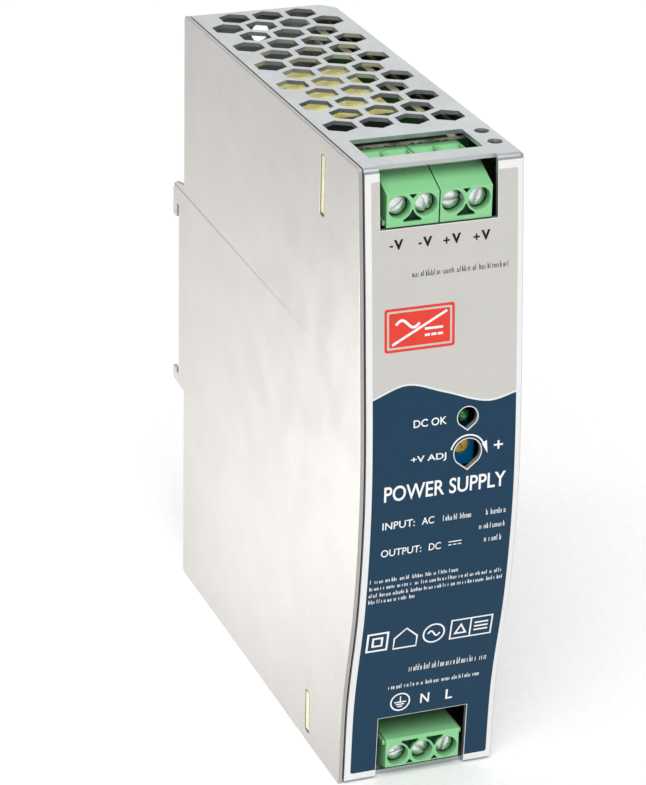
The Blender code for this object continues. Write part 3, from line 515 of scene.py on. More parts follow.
sheet_metal("case_sheet", (0.50, 0.525, 0.535), 0.34, 0.75)
sheet_metal("cover_sheet", (0.43, 0.415, 0.395), 0.42, 0.50)
bare_metal("zinc_steel", (0.62, 0.62, 0.60), 0.34)
bare_metal("spring_steel", (0.50, 0.50, 0.51), 0.28)
bare_metal("plated_screw", (0.93, 0.94, 0.95), 0.30, depth=0.0006)
bare_metal("tinned_copper", (0.74, 0.71, 0.64), 0.32)
bare_metal("heatsink", (0.48, 0.49, 0.48), 0.36, stretch=(1.0, 1.0, 0.06))
bare_metal("can_top", (0.70, 0.71, 0.72), 0.3)
# The well colour here is painted shade deep in the terminal blocks' screw wells.
plastic("terminal_green", (0.235, 0.590, 0.270), 0.34, (0.95, 1.05, 0.92), well=((0.02, 0.10, 0.035), 2.6))
plastic("rotor_brass", (0.86, 0.62, 0.13), 0.35, Metallic=0.3)
plastic("trimmer_blue", (0.0, 0.16, 0.42), 0.36)
plastic("box_grey", (0.33, 0.34, 0.33), 0.48)
plastic("ceramic_blue", (0.03, 0.14, 0.42), 0.35)
plastic("epoxy_black", (0.02, 0.02, 0.022), 0.5)
plastic("fuse_body", (0.74, 0.71, 0.63), 0.32)
printed_film("film_white", (0.78, 0.785, 0.78), 0.02)
printed_film("film_silver", (0.585, 0.57, 0.54), 0.07, 0.36, 0.25)
printed_film("film_blue", (0.011, 0.044, 0.086), 0.14, 0.50)
printed_film("ink_white", (0.86, 0.87, 0.87), 0.02)
printed_film("ink_black", (0.015, 0.015, 0.017), 0.2)
printed_film("ink_red", (0.72, 0.055, 0.035), 0.05)
circuit_board("board_x", 0)
circuit_board("board_y", 1)
tape_wrap("yellow_tape", 4.2)
shrink_sleeve("black_sleeve")
clouded("copper_wire", 0.25, ((0.42, 0.12, 0.03), (0.72, 0.30, 0.10)), 0.5, 3.0, (0.7, 0.2, 0.35),
        (0.01, 0.3), metallic=1.0, Coat_Weight=0.6, Coat_Roughness=0.1)
clouded("led_green", 0.12, ((0.012, 0.15, 0.035), (0.03, 0.32, 0.08)), 0.8, 2.0, (0.5, 0.08, 0.2),
        (0.01, 0.2), Transmission_Weight=0.35, IOR=1.5, Coat_Weight=0.6)
clouded("ferrite", 0.55, ((0.025, 0.025, 0.028), (0.07, 0.07, 0.075)), 0.2, 4.0, (0.6, 0.42, 0.62),
        (0.02, 0.6), metallic=0.2)
clouded("dark_film", 0.28, ((0.012, 0.013, 0.012), (0.025, 0.027, 0.024)), 4.0, 2.0, (1.0, 0.2, 0.36),
        (0.05, 0.4), Coat_Weight=0.3)


# ---------------------------------------------------------------- pieces

def piece(name, mesh, finish, stands_for=None, body="case"):
    """Add a piece drawn from the case datum; its material is the finish."""
    mesh.name = name
    mesh.transform(Matrix.Translation(DATUM))
    mesh.materials.clear()
    mesh.materials.append(FINISHES[finish])
    obj = bpy.data.objects.new(name, mesh)
    bpy.context.scene.collection.objects.link(obj)
    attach(obj, body)
    if stands_for:
        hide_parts(stands_for)
    return obj


def smooth(mesh, angle=35.0):
    mesh.shade_smooth()
    mesh.set_sharp_from_angle(angle=math.radians(angle))
    return mesh


def refinish(node, finish):
    """Give a carried-over CAD node a detailed material."""
    mesh = frame["nodes"][node].data
    mesh.materials.clear()
    mesh.materials.append(FINISHES[finish])


# ---------------------------------------------------------------- case

def ear_line():
    upper = [(0.0, EAR_TOP_Z)] + arc(EAR_Y - 2.6, EAR_TOP_Z - 3.5, 2.6, 80, 0, 12)
    hook = [(EAR_Y, HOOK_TIP_Z), (RAIL_SLOT_Y + 0.3, HOOK_TIP_Z), (RAIL_SLOT_Y, HOOK_TIP_Z + 0.6),
            (RAIL_SLOT_Y, HOOK_ROOT_Z), (SEAT_Y, HOOK_ROOT_Z)]
    lower = [(SEAT_Y, LOWER_EAR_TOP_Z - 0.7), (RAIL_SLOT_Y, LOWER_EAR_TOP_Z - 0.7),
             (RAIL_SLOT_Y, LOWER_EAR_TOP_Z), (EAR_Y, LOWER_EAR_TOP_Z)]
    return (upper + hook + lower + arc(EAR_Y - 1.6, EAR_BOTTOM_Z + 2.0, 1.6, 0, -70, 8)
            + [(0.0, EAR_BOTTOM_Z)])


def wall_holes(places, radius, low_y, high_y):
    """Round cutters along y at (x, z) places."""
    return [rod((x, low_y, z), (x, high_y, z), radius, 28) for x, z in places]


def hexagon_vents(low_z, high_z):
    prisms = []
    for row in range(VENT_ROWS):
        count = 3 + row % 2
        y = VENT_FIRST_Y - VENT_ROW_PITCH * row
        for column in range(count):
            x = (column - (count - 1) / 2) * VENT_COLUMN_PITCH
            prisms.append(rod((x, y, low_z), (x, y, high_z), VENT_RADIUS, 6))
    return prisms


def chassis_shell():
    """Front, top, rear, bottom and right wall folded from one sheet, open on the left."""
    outline = [(0.0, 0.0)] + front_line(0.0, CASE_HEIGHT, 40) + [(0.0, CASE_HEIGHT)]
    bm = bmesh.new()
    rim = [bm.verts.new((HALF_WIDTH * MM, y * MM, z * MM)) for y, z in outline]
    right_wall = bm.faces.new(rim)
    walls = bmesh.ops.extrude_edge_only(bm, edges=bm.edges[:])
    moved = [item for item in walls["geom"] if isinstance(item, bmesh.types.BMVert)]
    bmesh.ops.translate(bm, verts=moved, vec=((CHASSIS_LEFT_X - HALF_WIDTH) * MM, 0, 0))
    bmesh.ops.recalc_face_normals(bm, faces=bm.faces)
    if right_wall.normal.x < 0:
        bmesh.ops.reverse_faces(bm, faces=bm.faces)
    bent = modified(mesh_from(bm), "BEVEL", width=BEND_RADIUS * MM, segments=6, limit_method="ANGLE",
                    angle_limit=math.radians(40))
    return modified(bent, "SOLIDIFY", thickness=SHEET * MM, offset=-1.0, use_even_offset=True)


def front_openings(grow=0.0):
    """Outlines of the lamp's and the trimmer's openings, grown all round."""
    return [teardrop(LED_AT, LED_HOLE_RADIUS + grow), teardrop(TRIMMER_AT, TRIMMER_HOLE_RADIUS + grow)]


def build_chassis():
    ear = slab([ear_line() + [(-3.0, EAR_BOTTOM_Z), (-3.0, EAR_TOP_Z)]], "X", WALL_INNER_X, HALF_WIDTH)
    mesh = boolean(chassis_shell(), [ear], "UNION")
    top = CASE_HEIGHT
    cuts = hexagon_vents(top - 2.0, top + 1.0) + hexagon_vents(-1.0, 2.0)
    cuts += [slab([outline], "Y", BEYOND_FRONT_Y, -99.0) for outline in front_openings()]
    cuts.append(slab([rounded_rectangle(*TOP_WINDOW, 0.35, 3)], "Z", top - 2, top + 1))
    cuts.append(slab([rounded_rectangle(*BOTTOM_WINDOW, 0.35, 3)], "Z", -1, 2))
    low_x, high_x, low_z = OUTPUT_CUTOUT
    cuts.append(box((low_x, BEYOND_FRONT_Y, low_z), (high_x, OUTPUT_CUTOUT_BACK_Y, top + 1)))
    low_x, high_x, high_z = INPUT_CUTOUT
    cuts.append(box((low_x, BEYOND_FRONT_Y, -1), (high_x, INPUT_CUTOUT_BACK_Y, high_z)))
    corner = [(HALF_WIDTH + 1, 1.0), (HALF_WIDTH - 4.0, 1.0), (HALF_WIDTH - 4.0, 0.0), (HALF_WIDTH, -4.4),
              (HALF_WIDTH + 1, -4.4)]
    cuts.append(slab([corner], "Z", top - 0.9, top + 1))
    cuts += [rod((x, y, top - 2), (x, y, top + 1), TOP_HOLE_RADIUS, 32) for x, y in TOP_HOLES]
    cuts.append(slab([rounded_rectangle(*REAR_SLOT, 1.89, 10)], "Y", -2.0, 1.0))
    cuts += wall_holes(COVER_SCREWS, SCREW_HOLE_RADIUS, -2, 1)
    cuts += wall_holes(BRACKET_RIVETS, RIVET_HOLE_RADIUS, -2, 1)
    cuts += [rod((14, y, z), (17, y, z), 2.0, 28) for y, z in STANDOFFS]
    piece("case_chassis", rounded(boolean(mesh, cuts), 0.1, 2, 50), "case_sheet", "chassis")


def build_side_cover():
    top_y = -front_depth(CASE_HEIGHT)
    outline = [(0.0, CASE_HEIGHT - 0.6)] + ear_line() + [(0.0, 0.4), (-0.4, 0.0)]
    outline += front_line(0.0, CASE_HEIGHT, 40)[:-1]
    outline += [(top_y, CASE_HEIGHT - 0.4), (top_y + 0.4, CASE_HEIGHT), (-0.6, CASE_HEIGHT)]
    slots = []
    for board_y, low, high in ((OUTPUT_BOARD_Y, 110.5, 122.2), (INPUT_BOARD_Y, 2.0, 11.0)):
        slots.append(rounded_rectangle((board_y - 0.3, low), (board_y + BOARD_THICKNESS + 0.3, high), 0.3, 3))
    sheet = slab([outline] + slots, "X", -HALF_WIDTH, COVER_INNER_X)
    tabs = [box((COVER_INNER_X - 0.3, -2.2, z - 5), (x + 3.2, -1.2, z + 5)) for x, z in COVER_SCREWS]
    mesh = boolean(boolean(sheet, tabs, "UNION"), wall_holes(COVER_SCREWS, RIVET_HOLE_RADIUS, -3, 0))
    piece("case_side_cover", rounded(mesh, 0.1, 2, 50, flat=True), "cover_sheet", "side_cover")


def turned_slot(x, y, z, half_width, reach, angle):
    """A box for a screwdriver slot across the -Y face at (x, y, z), turned about Y."""
    cut = box((-reach, -2.0, -half_width), (reach, 0.0, half_width))
    cut.transform(Matrix.Rotation(math.radians(angle), 4, "Y"))
    cut.transform(Matrix.Translation(Vector((x, y, z)) * MM))
    return cut


def build_fasteners():
    head = [(0, 2.0), (1.0, 1.93), (1.7, 1.66), (2.15, 1.25), (2.38, 0.7), (2.4, 0.15)]
    for index, (x, z) in enumerate(COVER_SCREWS, 1):
        cross = [box((x - 0.3, 1.1, z - 1.5), (x + 0.3, 2.5, z + 1.5)),
                 box((x - 1.5, 1.1, z - 0.3), (x + 1.5, 2.5, z + 0.3))]
        screw = turned(head + [(1.25, 0.15), (1.25, -5.0), (0, -5.0)], 40, (x, 0, z), (0, 1, 0))
        mesh = rounded(boolean(screw, cross, tools_overlap=True), 0.06, 2, 40)
        piece(f"rear_screw_{index}", mesh, "plated_screw", f"cover_screw_{index}")
    rivet = [(0, 2.3), (0.7, 2.25), (1.3, 2.05), (1.8, 1.65), (2.0, 1.3), (1.2, 1.3), (1.2, -1.0),
             (1.8, -1.0), (1.4, -1.7), (0, -1.7)]
    for index, (x, z) in enumerate(BRACKET_RIVETS, 1):
        mesh = smooth(turned(rivet, 36, (x, 0, z), (0, 1, 0)))
        piece(f"rivet_{index}", mesh, "zinc_steel", f"bracket_rivet_{index}")
    wall = HALF_WIDTH - 0.05
    standoff = [(0, wall - 0.12), (1.2, wall - 0.12), (1.35, wall), (1.75, wall), (1.75, 14.9), (2.4, 14.9),
                (2.4, 12.75), (1.5, 12.75), (1.5, 10.65), (3.0, 10.65), (3.0, 9.9), (2.4, 9.4), (0, 9.4)]
    for index, (y, z) in enumerate(STANDOFFS, 1):
        mesh = rounded(turned(standoff, 36, (0, y, z), (1, 0, 0)), 0.06, 2, 40)
        piece(f"standoff_{index}", mesh, "zinc_steel", f"board_standoff_{index}")


# ---------------------------------------------------------------- rail clamp

def build_rail_clamp():
    outline = [(-13.2, 0.3), (-8.2, 0.3), (-8.2, 2.7), (8.2, 2.7), (8.2, 0.3), (13.2, 0.3),
               (13.2, 1.1), (9.0, 1.1), (9.0, SEAT_Y), (-9.0, SEAT_Y), (-9.0, 1.1), (-13.2, 1.1)]
    tab = box((-1.2, 0.6, 56.3), (1.2, 3.0, 57.0))
    hat = boolean(slab([outline], "Z", 49.7, 82.2), [tab], "UNION")
    hat = boolean(hat, wall_holes(BRACKET_RIVETS, RIVET_HOLE_RADIUS, -1, 2))
    piece("seat_bracket", rounded(hat, 0.2, 3, 50), "zinc_steel", "rail_bracket")

    tongue = [(-7.8, 46.0), (7.8, 46.0), (7.8, 75.0), (6.3, 76.5), (-6.3, 76.5), (-7.8, 75.0)]
    window = rounded_rectangle((-1.6, 52.4), (1.6, 70.0), 0.3, 3)
    stem = [(-9.6, 49.3), (-9.6, 44.0), (-6.0, 40.0), (-6.0, 7.5), (-4.5, 6.0), (4.5, 6.0), (6.0, 7.5),
            (6.0, 40.0), (9.6, 44.0), (9.6, 49.3)]
    driver_slot = rounded_rectangle((-3.0, 9.0), (3.0, 11.4), 0.3, 3)
    guide_slot = rounded_rectangle((-1.6, 22.0), (1.6, 31.0), 1.59, 8)
    hook = [(1.0, 45.2), (5.4, 45.2), (6.0, 45.8), (6.0, 47.6), (5.2, 49.2), (4.8, 49.2), (4.8, 46.4),
            (1.0, 46.4)]
    plates = [slab([stem, driver_slot, guide_slot], "Y", 0.8, 2.0), slab([hook], "X", -7.0, 7.0)]
    mesh = boolean(slab([tongue, window], "Y", 0.8, 2.0), plates, "UNION", tools_overlap=True)
    piece("latch_slider", rounded(mesh, 0.12, 2, 50), "zinc_steel", "rail_latch", body="latch")

    low, high, turns, steps = 57.48, 69.62, 9, 28
    coil = []
    for i in range(turns * steps + 1):
        angle = 2 * math.pi * i / steps
        share = i / (turns * steps)
        eased = share - 0.035 * math.sin(2 * math.pi * share)
        coil.append((0.9 * math.cos(angle), 1.4 + 0.9 * math.sin(angle), low + (high - low) * eased))
    spring = piece("latch_return_spring", smooth(wire(coil, 0.18, resolution=4)), "spring_steel",
                   "latch_spring")
    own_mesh(spring)


# ---------------------------------------------------------------- front label

def bent_front_y(x, z):
    """The bowed front, with the round of its right-hand bend."""
    beyond = min(max(x - (HALF_WIDTH - BEND_RADIUS), 0.0), 0.95 * BEND_RADIUS)
    return -front_depth(z) + BEND_RADIUS - math.sqrt(BEND_RADIUS**2 - beyond**2)


def on_front(mesh, lift):
    """Lay a flat mesh, whose y is its height off the sheet in mm, on the bowed front."""
    bm = bmesh.new()
    bm.from_mesh(mesh)
    heights = [v.co.z / MM for v in bm.verts]
    step = 2.0
    level = math.ceil(min(heights) / step) * step
    planes = []
    while level < max(heights):
        planes.append(((0, 0, level * MM), (0, 0, 1)))
        level += step
    planes += [((x * MM, 0, 0), (1, 0, 0)) for x in (15.1, 15.25, 15.4)]
    for place, normal in planes:
        geometry = bm.verts[:] + bm.edges[:] + bm.faces[:]
        bmesh.ops.bisect_plane(bm, geom=geometry, plane_co=place, plane_no=normal)
    for vertex in bm.verts:
        x, y, z = vertex.co / MM
        vertex.co.y = (bent_front_y(x, z) - lift + y) * MM
    return mesh_from(bm)


def ink(loops):
    """A flat printed shape, one ink layer thick."""
    return slab(loops, "Y", -INK_THICKNESS, 0.0)


def front_mesh(name, meshes, finish, lift, stands_for=None):
    """Pieces of flat mesh laid on the front together, as one layer of the label."""
    mesh = on_front(merged(meshes), lift)
    piece(name, smooth(mesh, 30), finish, stands_for)


def lettering(text, x_range, z_middle, cap_height, weight=0.0):
    """Flat text between two x positions, with its capitals centred on a height."""
    curve = bpy.data.curves.new("Text", "FONT")
    curve.body = text
    curve.size = 1.0
    curve.extrude = 0.5
    curve.offset = weight
    curve.resolution_u = 4
    mesh = evaluated_mesh(scratch_object(curve))
    xs = [v.co.x for v in mesh.vertices]
    ys = [v.co.y for v in mesh.vertices]
    scale_x = (x_range[1] - x_range[0]) / (max(xs) - min(xs))
    scale_y = cap_height / (max(ys) - min(ys))
    for vertex in mesh.vertices:
        x = x_range[0] + (vertex.co.x - min(xs)) * scale_x
        z = z_middle - cap_height / 2 + (vertex.co.y - min(ys)) * scale_y
        vertex.co = (x * MM, -(vertex.co.z + 0.5) * INK_THICKNESS * MM, z * MM)
    return welded(mesh, 1e-7, outward=True)


def bar(x0, x1, z0, z1):
    return [(x0, z0), (x1, z0), (x1, z1), (x0, z1)]


def stroke(points, width, cyclic=False):
    """The outline of a line of a given width through points."""
    left, right = [], []
    count = len(points)
    for i, (u, v) in enumerate(points):
        before = points[(i - 1) % count] if cyclic or i > 0 else points[i]
        after = points[(i + 1) % count] if cyclic or i < count - 1 else points[i]
        along = Vector((after[0] - before[0], after[1] - before[1])).normalized() * width / 2
        left.append((u - along.y, v + along.x))
        right.append((u + along.y, v - along.x))
    return [left, right] if cyclic else [left + right[::-1]]


def fine_print(x_range, z, height, draw):
    """A line of small illegible words, as dashes."""
    dashes = []
    x = x_range[0]
    while x < x_range[1] - 0.3:
        length = draw.choice((0.6, 0.9, 1.3, 1.8, 2.3))
        end = min(x + length, x_range[1])
        letter = x
        while letter < end - 0.12:
            width = draw.choice((0.26, 0.34, 0.42))
            rise = height * draw.choice((0.62, 0.66, 1.0))
            foot = z - height / 2
            dashes.append([bar(letter, letter + 0.11, foot, foot + rise)])
            if letter + width < end and draw.random() < 0.75:
                dashes.append([bar(letter + width - 0.11, letter + width, foot, foot + height * 0.62)])
                level = foot + draw.choice((0.0, 0.52)) * height
                dashes.append([bar(letter + 0.11, letter + width - 0.11, level, level + 0.11)])
            letter += width + 0.16
        x = end + 0.34
    return dashes


def wave(x, shift):
    return (x, through(WAVE_STATIONS, x) + shift)


def panel(far_z, cutout, side):
    """A panel from the wave to its far edge, with two round corners and the terminals' cut-out."""
    left, right = PANEL_X
    edge, radius = 0.1, 0.4
    near_x, far_x, cut_z = cutout[0] - edge, cutout[1] + edge, cutout[2] - side * edge
    crest = [wave(left + (right - left) * i / 40, side * 0.19) for i in range(41)]
    round_z = far_z - side * radius
    return (crest + arc(right - radius, round_z, radius, 0, side * 90, 5)
            + [(far_x, far_z), (far_x, cut_z), (near_x, cut_z), (near_x, far_z)]
            + arc(left + radius, round_z, radius, side * 90, side * 180, 5))


def build_label():
    x0, x1 = FILM_X
    z0, z1 = FILM_Z
    out_x0, out_x1, out_z = OUTPUT_CUTOUT
    in_x0, in_x1, in_z = INPUT_CUTOUT
    film = [(x0, z0), (x0, z1), (out_x0, z1), (out_x0, out_z), (out_x1, out_z), (out_x1, z1), (x1, z1),
            (x1, z0), (in_x1, z0), (in_x1, in_z), (in_x0, in_z), (in_x0, z0)]
    base = slab([film] + front_openings(0.02), "Y", -FILM_THICKNESS, 0.0)
    front_mesh("label_film_base", [base], "film_white", FILM_LIFT, "front_label")
    lift = FILM_LIFT + FILM_THICKNESS
    front_mesh("label_silver_panel", [ink([panel(PANEL_Z[1], OUTPUT_CUTOUT, 1)])], "film_silver", lift)
    blue = [panel(PANEL_Z[0], INPUT_CUTOUT, -1)] + front_openings(0.2)
    front_mesh("label_blue_panel", [ink(blue)], "film_blue", lift)

    lift += INK_THICKNESS
    draw = random.Random(7)
    black = [lettering("V", (x - 0.9, x + 0.9), 110.95, 1.85, 0.05) for x in (-8.6, -3.05, 2.5, 8.2)]
    shapes = [[bar(x - 0.32, x + 0.32, 110.56, 110.88)] for x in (-10.0, -4.5)]
    for x in (0.6, 6.4):
        shapes += [[bar(x - 0.62, x + 0.62, 110.6, 110.9)], [bar(x - 0.15, x + 0.15, 110.13, 110.6)],
                   [bar(x - 0.15, x + 0.15, 110.9, 111.37)]]
    shapes += fine_print((-6.0, 12.7), 105.2, 1.1, draw)
    front_mesh("print_black", black + [ink(loops) for loops in shapes], "ink_black", lift)

    words = (("DC OK", (-5.75, 0.75), 76.9, 1.5, 0.012),
             ("+V ADJ", (-6.2, 0.75), 69.8, 1.6, 0.012),
             ("+", (10.2, 12.0), 70.7, 1.7, 0.01),
             ("POWER SUPPLY", (-11.3, 12.8), 63.75, 3.1, 0.012),
             ("INPUT:", (-11.4, -5.0), 57.3, 1.5, 0.006),
             ("AC", (-3.6, -1.2), 57.3, 1.5, 0.006),
             ("OUTPUT:", (-11.4, -3.4), 51.6, 1.5, 0.006),
             ("DC", (-1.9, 0.5), 51.6, 1.5, 0.006),
             ("N", (-0.1, 1.7), 16.5, 2.2, 0.014),
             ("L", (5.1, 6.5), 16.5, 2.2, 0.014))
    shapes = []
    for x_range, z, height in (((0.6, 6.4), 57.3, 1.2), ((9.2, 13.3), 57.3, 1.2), ((8.0, 13.3), 54.4, 1.1),
                               ((9.2, 13.3), 51.6, 1.2)):
        shapes += fine_print(x_range, z, height, draw)
    shapes += [[bar(2.0, 4.6, 51.95, 52.15)]]
    shapes += [[bar(2.0 + 0.98 * i, 2.64 + 0.98 * i, 51.3, 51.5)] for i in range(3)]
    for x_range, z, height in (((-13.2, 4.5), 45.8, 0.85), ((-13.2, 13.6), 44.3, 0.85),
                               ((-13.2, 13.6), 42.8, 0.85), ((-13.2, -4.0), 41.4, 0.85),
                               ((-3.2, 13.2), 24.2, 1.5), ((-7.0, 12.0), 20.3, 1.0)):
        shapes += fine_print(x_range, z, height, draw)
    shapes += [stroke(arc(*TRIMMER_AT, 3.4, 165, 20, 24), 0.3)]
    shapes += [[[(7.75, 71.4), (8.75, 71.9), (8.95, 69.3)]]]
    shapes += pictograms()
    white = [lettering(*word) for word in words] + [ink(loops) for loops in shapes]
    front_mesh("print_white", white, "ink_white", lift)

    rings = [rounded_rectangle((-11.4, 91.0), (2.2, 99.2), 0.5),
             rounded_rectangle((-10.9, 91.5), (1.7, 98.7), 0.3)]
    field = [rounded_rectangle((-10.5, 91.9), (1.3, 98.3), 0.2)]
    front_mesh("badge_red", [ink(rings), ink(field)], "ink_red", lift)
    marks = [stroke([(-9.9, 92.4), (0.7, 97.8)], 0.45), stroke(sine_line(-9.2, 96.1, 4.6, 0.75), 0.5),
             [bar(-3.6, -0.1, 94.6, 95.05)]]
    marks += [[bar(-3.6 + 1.26 * i, -2.62 + 1.26 * i, 93.4, 93.85)] for i in range(3)]
    front_mesh("badge_symbol", [ink(loops) for loops in marks], "ink_white", lift + INK_THICKNESS)


def sine_line(x, z, length, height):
    return [(x + length * i / 24, z + height * math.sin(2 * math.pi * i / 24)) for i in range(25)]


def pictograms():
    """Simple general symbols: protective earth, double square, house, ring with a wave, and a table."""
    shapes = []
    earth = (-4.25, 16.5)
    shapes.append(stroke(arc(*earth, 1.9, 0, 345, 40), 0.3, cyclic=True))
    shapes.append([bar(earth[0] - 0.12, earth[0] + 0.12, 16.5, 17.75)])
    for half, z in ((1.2, 16.45), (0.85, 15.95), (0.5, 15.45)):
        shapes.append([bar(earth[0] - half, earth[0] + half, z - 0.13, z + 0.13)])
    for low, high in (((-12.7, 29.6), (-8.3, 34.0)), ((-11.6, 30.7), (-9.4, 32.9))):
        shapes.append([bar(low[0], high[0], low[1], high[1]),
                       bar(low[0] + 0.4, high[0] - 0.4, low[1] + 0.4, high[1] - 0.4)])
    house = [(-7.1, 29.6), (-7.1, 32.0), (-4.8, 34.1), (-2.5, 32.0), (-2.5, 29.6)]
    shapes.append(stroke(house, 0.36, cyclic=True))
    shapes.append(stroke(arc(0.9, 31.9, 2.1, 0, 350, 40), 0.34, cyclic=True))
    shapes.append(stroke(sine_line(-0.3, 31.9, 2.4, 0.6), 0.34))
    shapes.append([bar(4.2, 12.8, 29.7, 34.3), bar(4.5, 8.2, 30.0, 34.0), bar(8.5, 12.5, 30.0, 34.0)])
    shapes.append([[(5.0, 30.8), (7.7, 30.8), (6.35, 33.3)], [(5.6, 31.15), (7.1, 31.15), (6.35, 32.6)]])
    shapes += [[bar(9.1, 11.9, 31.0 + 0.85 * i, 31.35 + 0.85 * i)] for i in range(3)]
    return shapes


# ---------------------------------------------------------------- terminals

def pocket(x, front_y, base_z, up):
    """Triangular pocket between two wells: its sides follow their rims."""
    right = [(min(1.72, 2.54 - math.sqrt(max(2.52**2 - (POLE_HEIGHT - h)**2, 0.0))), h)
             for h in (0.85, 1.2, 1.5, 1.8, 2.1, 2.4, 2.7, 3.0)]
    sides = [[(x + side * w, base_z + up * h) for w, h in right] for side in (1, -1)]
    upper = [(x - 0.75, base_z + up * 5.9), (x + 0.75, base_z + up * 5.9), (x, base_z + up * 5.05)]
    return [slab([sides[0] + sides[1][::-1]], "Y", front_y - 1.0, front_y + 1.8),
            slab([upper], "Y", front_y - 1.0, front_y + 1.2)]


def wire_funnel(x, block):
    """A wire entry that widens towards the block's flat side, and most towards the rear."""
    front_y, up = block["front_y"], block["up"]
    mesh = box((x - 1.5, front_y + 9.2, 6.0), (x + 1.5, front_y + 12.2, block["height"] + 0.2))
    for vertex in mesh.vertices:
        if vertex.co.z > 7.0 * MM:
            vertex.co.x += math.copysign(0.65 * MM, vertex.co.x - x * MM)
            vertex.co.y += (3.5 if vertex.co.y > (front_y + 11) * MM else -1.1) * MM
        vertex.co.z = block["base_z"] * MM + up * vertex.co.z
    if up < 0:
        mesh.flip_normals()
    return mesh


def housing(block, first_pole, poles, shift=0.0):
    """Block body with screw wells, clamp chambers, flared wire funnels, pockets and dovetail lugs."""
    first_x = block["first_x"] + first_pole * POLE_PITCH + shift
    front_y, base_z, up, tall = block["front_y"], block["base_z"], block["up"], block["height"]

    def cell(x0, x1, depths, heights):
        z0, z1 = sorted(base_z + up * height for height in heights)
        return box((x0, front_y + depths[0], z0), (x1, front_y + depths[1], z1))

    outline = [(front_y + depth, base_z + up * height) for depth, height in (
        (0, 0), (BLOCK_DEPTH, 0), (BLOCK_DEPTH, tall), (5.75, tall), (5.6, min(8.6, tall - 0.2)), (0, 6.1))]
    left = first_x - POLE_PITCH / 2 + 0.05
    right = left + poles * POLE_PITCH - 0.1
    body = slab([outline], "X", left, right)
    lugs = []
    if shift == 0.0:
        lugs.append(cell(left - 0.55, left + 0.4, (0.5, 12.0), (0.35, 1.3)))
    if block is INPUT_BLOCK:
        lugs.append(cell(right - 0.4, right + 0.55, (0.5, 12.0), (0.35, 1.3)))
    body = boolean(body, lugs, "UNION") if lugs else body
    screw_z = base_z + up * POLE_HEIGHT
    cuts = []
    for pole in range(poles):
        x = first_x + pole * POLE_PITCH
        cuts.append(rod((x, front_y - 1, screw_z), (x, front_y + 3.0, screw_z), WELL_RADIUS, 48))
        cuts.append(rod((x, front_y + 2, screw_z), (x, front_y + 5, screw_z), SCREW_HOLE_RADIUS, 32))
        cuts.append(cell(x - 2.05, x + 2.05, (4.5, 13.7), (0.5, 6.7)))
        cuts.append(wire_funnel(x, block))
        cuts.append(cell(x - 0.9, x + 0.9, (13.0, BLOCK_DEPTH + 1), (0.5, 1.5)))
    for pole in range(poles - 1):
        cuts += pocket(first_x + (pole + 0.5) * POLE_PITCH, front_y, base_z, up)
    return rounded(boolean(body, cuts, tools_overlap=True), 0.09, 2, 40)


def pole_x(block, pole):
    shift = RIGHT_BLOCK_SHIFT if block is OUTPUT_BLOCK and pole > 1 else 0.0
    return block["first_x"] + pole * POLE_PITCH + shift


def terminal_screw(x, front_y, z, angle):
    """Slotted pan-head screw with a chamfered rim and a turned shank."""
    profile = [(0, 1.0), (1.78, 1.0), (1.95, 0.86), (2.0, 0.6), (2.0, 0.0), (1.3, 0.0)]
    for turn in range(10):
        profile += [(1.3, -0.3 - 0.5 * turn), (1.05, -0.55 - 0.5 * turn)]
    profile += [(1.3, -5.4), (0.9, -5.7), (0, -5.7)]
    seat_y = front_y + SCREW_SEAT_DEPTH
    screw = turned(profile, 48, (x, seat_y, z), (0, -1, 0))
    return rounded(boolean(screw, [turned_slot(x, seat_y - 0.25, z, 0.33, 3.0, angle)]), 0.05, 2, 40)


def build_terminals():
    piece("terminal_block_output_left", housing(OUTPUT_BLOCK, 0, 2), "terminal_green", "output_terminal_left")
    piece("terminal_block_output_right", housing(OUTPUT_BLOCK, 2, 2, RIGHT_BLOCK_SHIFT), "terminal_green",
          "output_terminal_right")
    piece("terminal_block_input", housing(INPUT_BLOCK, 0, 3), "terminal_green", "input_terminal")
    for side, block, angles in (("output", OUTPUT_BLOCK, (-40, 65, 0, -72)),
                                ("input", INPUT_BLOCK, (-12, 40, -75))):
        for pole, angle in enumerate(angles):
            z = block["base_z"] + block["up"] * POLE_HEIGHT
            tag = f"{side}_{pole + 1}"
            piece(f"slotted_screw_{tag}", terminal_screw(pole_x(block, pole), block["front_y"], z, angle),
                  "plated_screw", f"terminal_screw_{tag}", body=f"screw_{tag}")
            refinish(f"clamp_cage_{tag}", "plated_screw")
            refinish(f"contact_bar_{tag}", "tinned_copper")


# ---------------------------------------------------------------- front controls

def build_controls():
    x, z = TRIMMER_AT
    body = box((x - 3.3, -98.3, z - 4.2), (x + 2.9, -93.0, z + 2.9))
    well = rod((x, -100, z), (x, -96.1, z), 1.9, 48)
    piece("trimmer_housing", rounded(boolean(body, [well]), 0.15, 2, 40), "trimmer_blue", "trimmer_body")
    profile = [(0, 2.0), (1.6, 2.0), (1.75, 1.85), (1.75, 0.0), (0, 0.0)]
    rotor = turned(profile, 48, (x, -96.4, z), (0, -1, 0))
    rotor = boolean(rotor, [turned_slot(x, -97.7, z, 0.26, 1.25, 62)])
    piece("trimmer_slotted_rotor", rounded(rotor, 0.06, 2, 40), "rotor_brass", "trimmer_rotor", body="rotor")
    x, z = LED_AT
    steps = [math.radians(angle) for angle in range(0, 91, 6)]
    dome = [(1.5 * math.sin(a), 5.2 + 1.5 * math.cos(a)) for a in steps]
    profile = dome + [(1.5, 1.0), (1.6, 1.0), (1.6, 0), (0, 0)]
    lens = turned(profile, 48, (x, -93.2, z - LAMP_DROP), (0, -1, 0))
    piece("lamp_lens", smooth(lens), "led_green", "status_lamp")


# ---------------------------------------------------------------- circuit

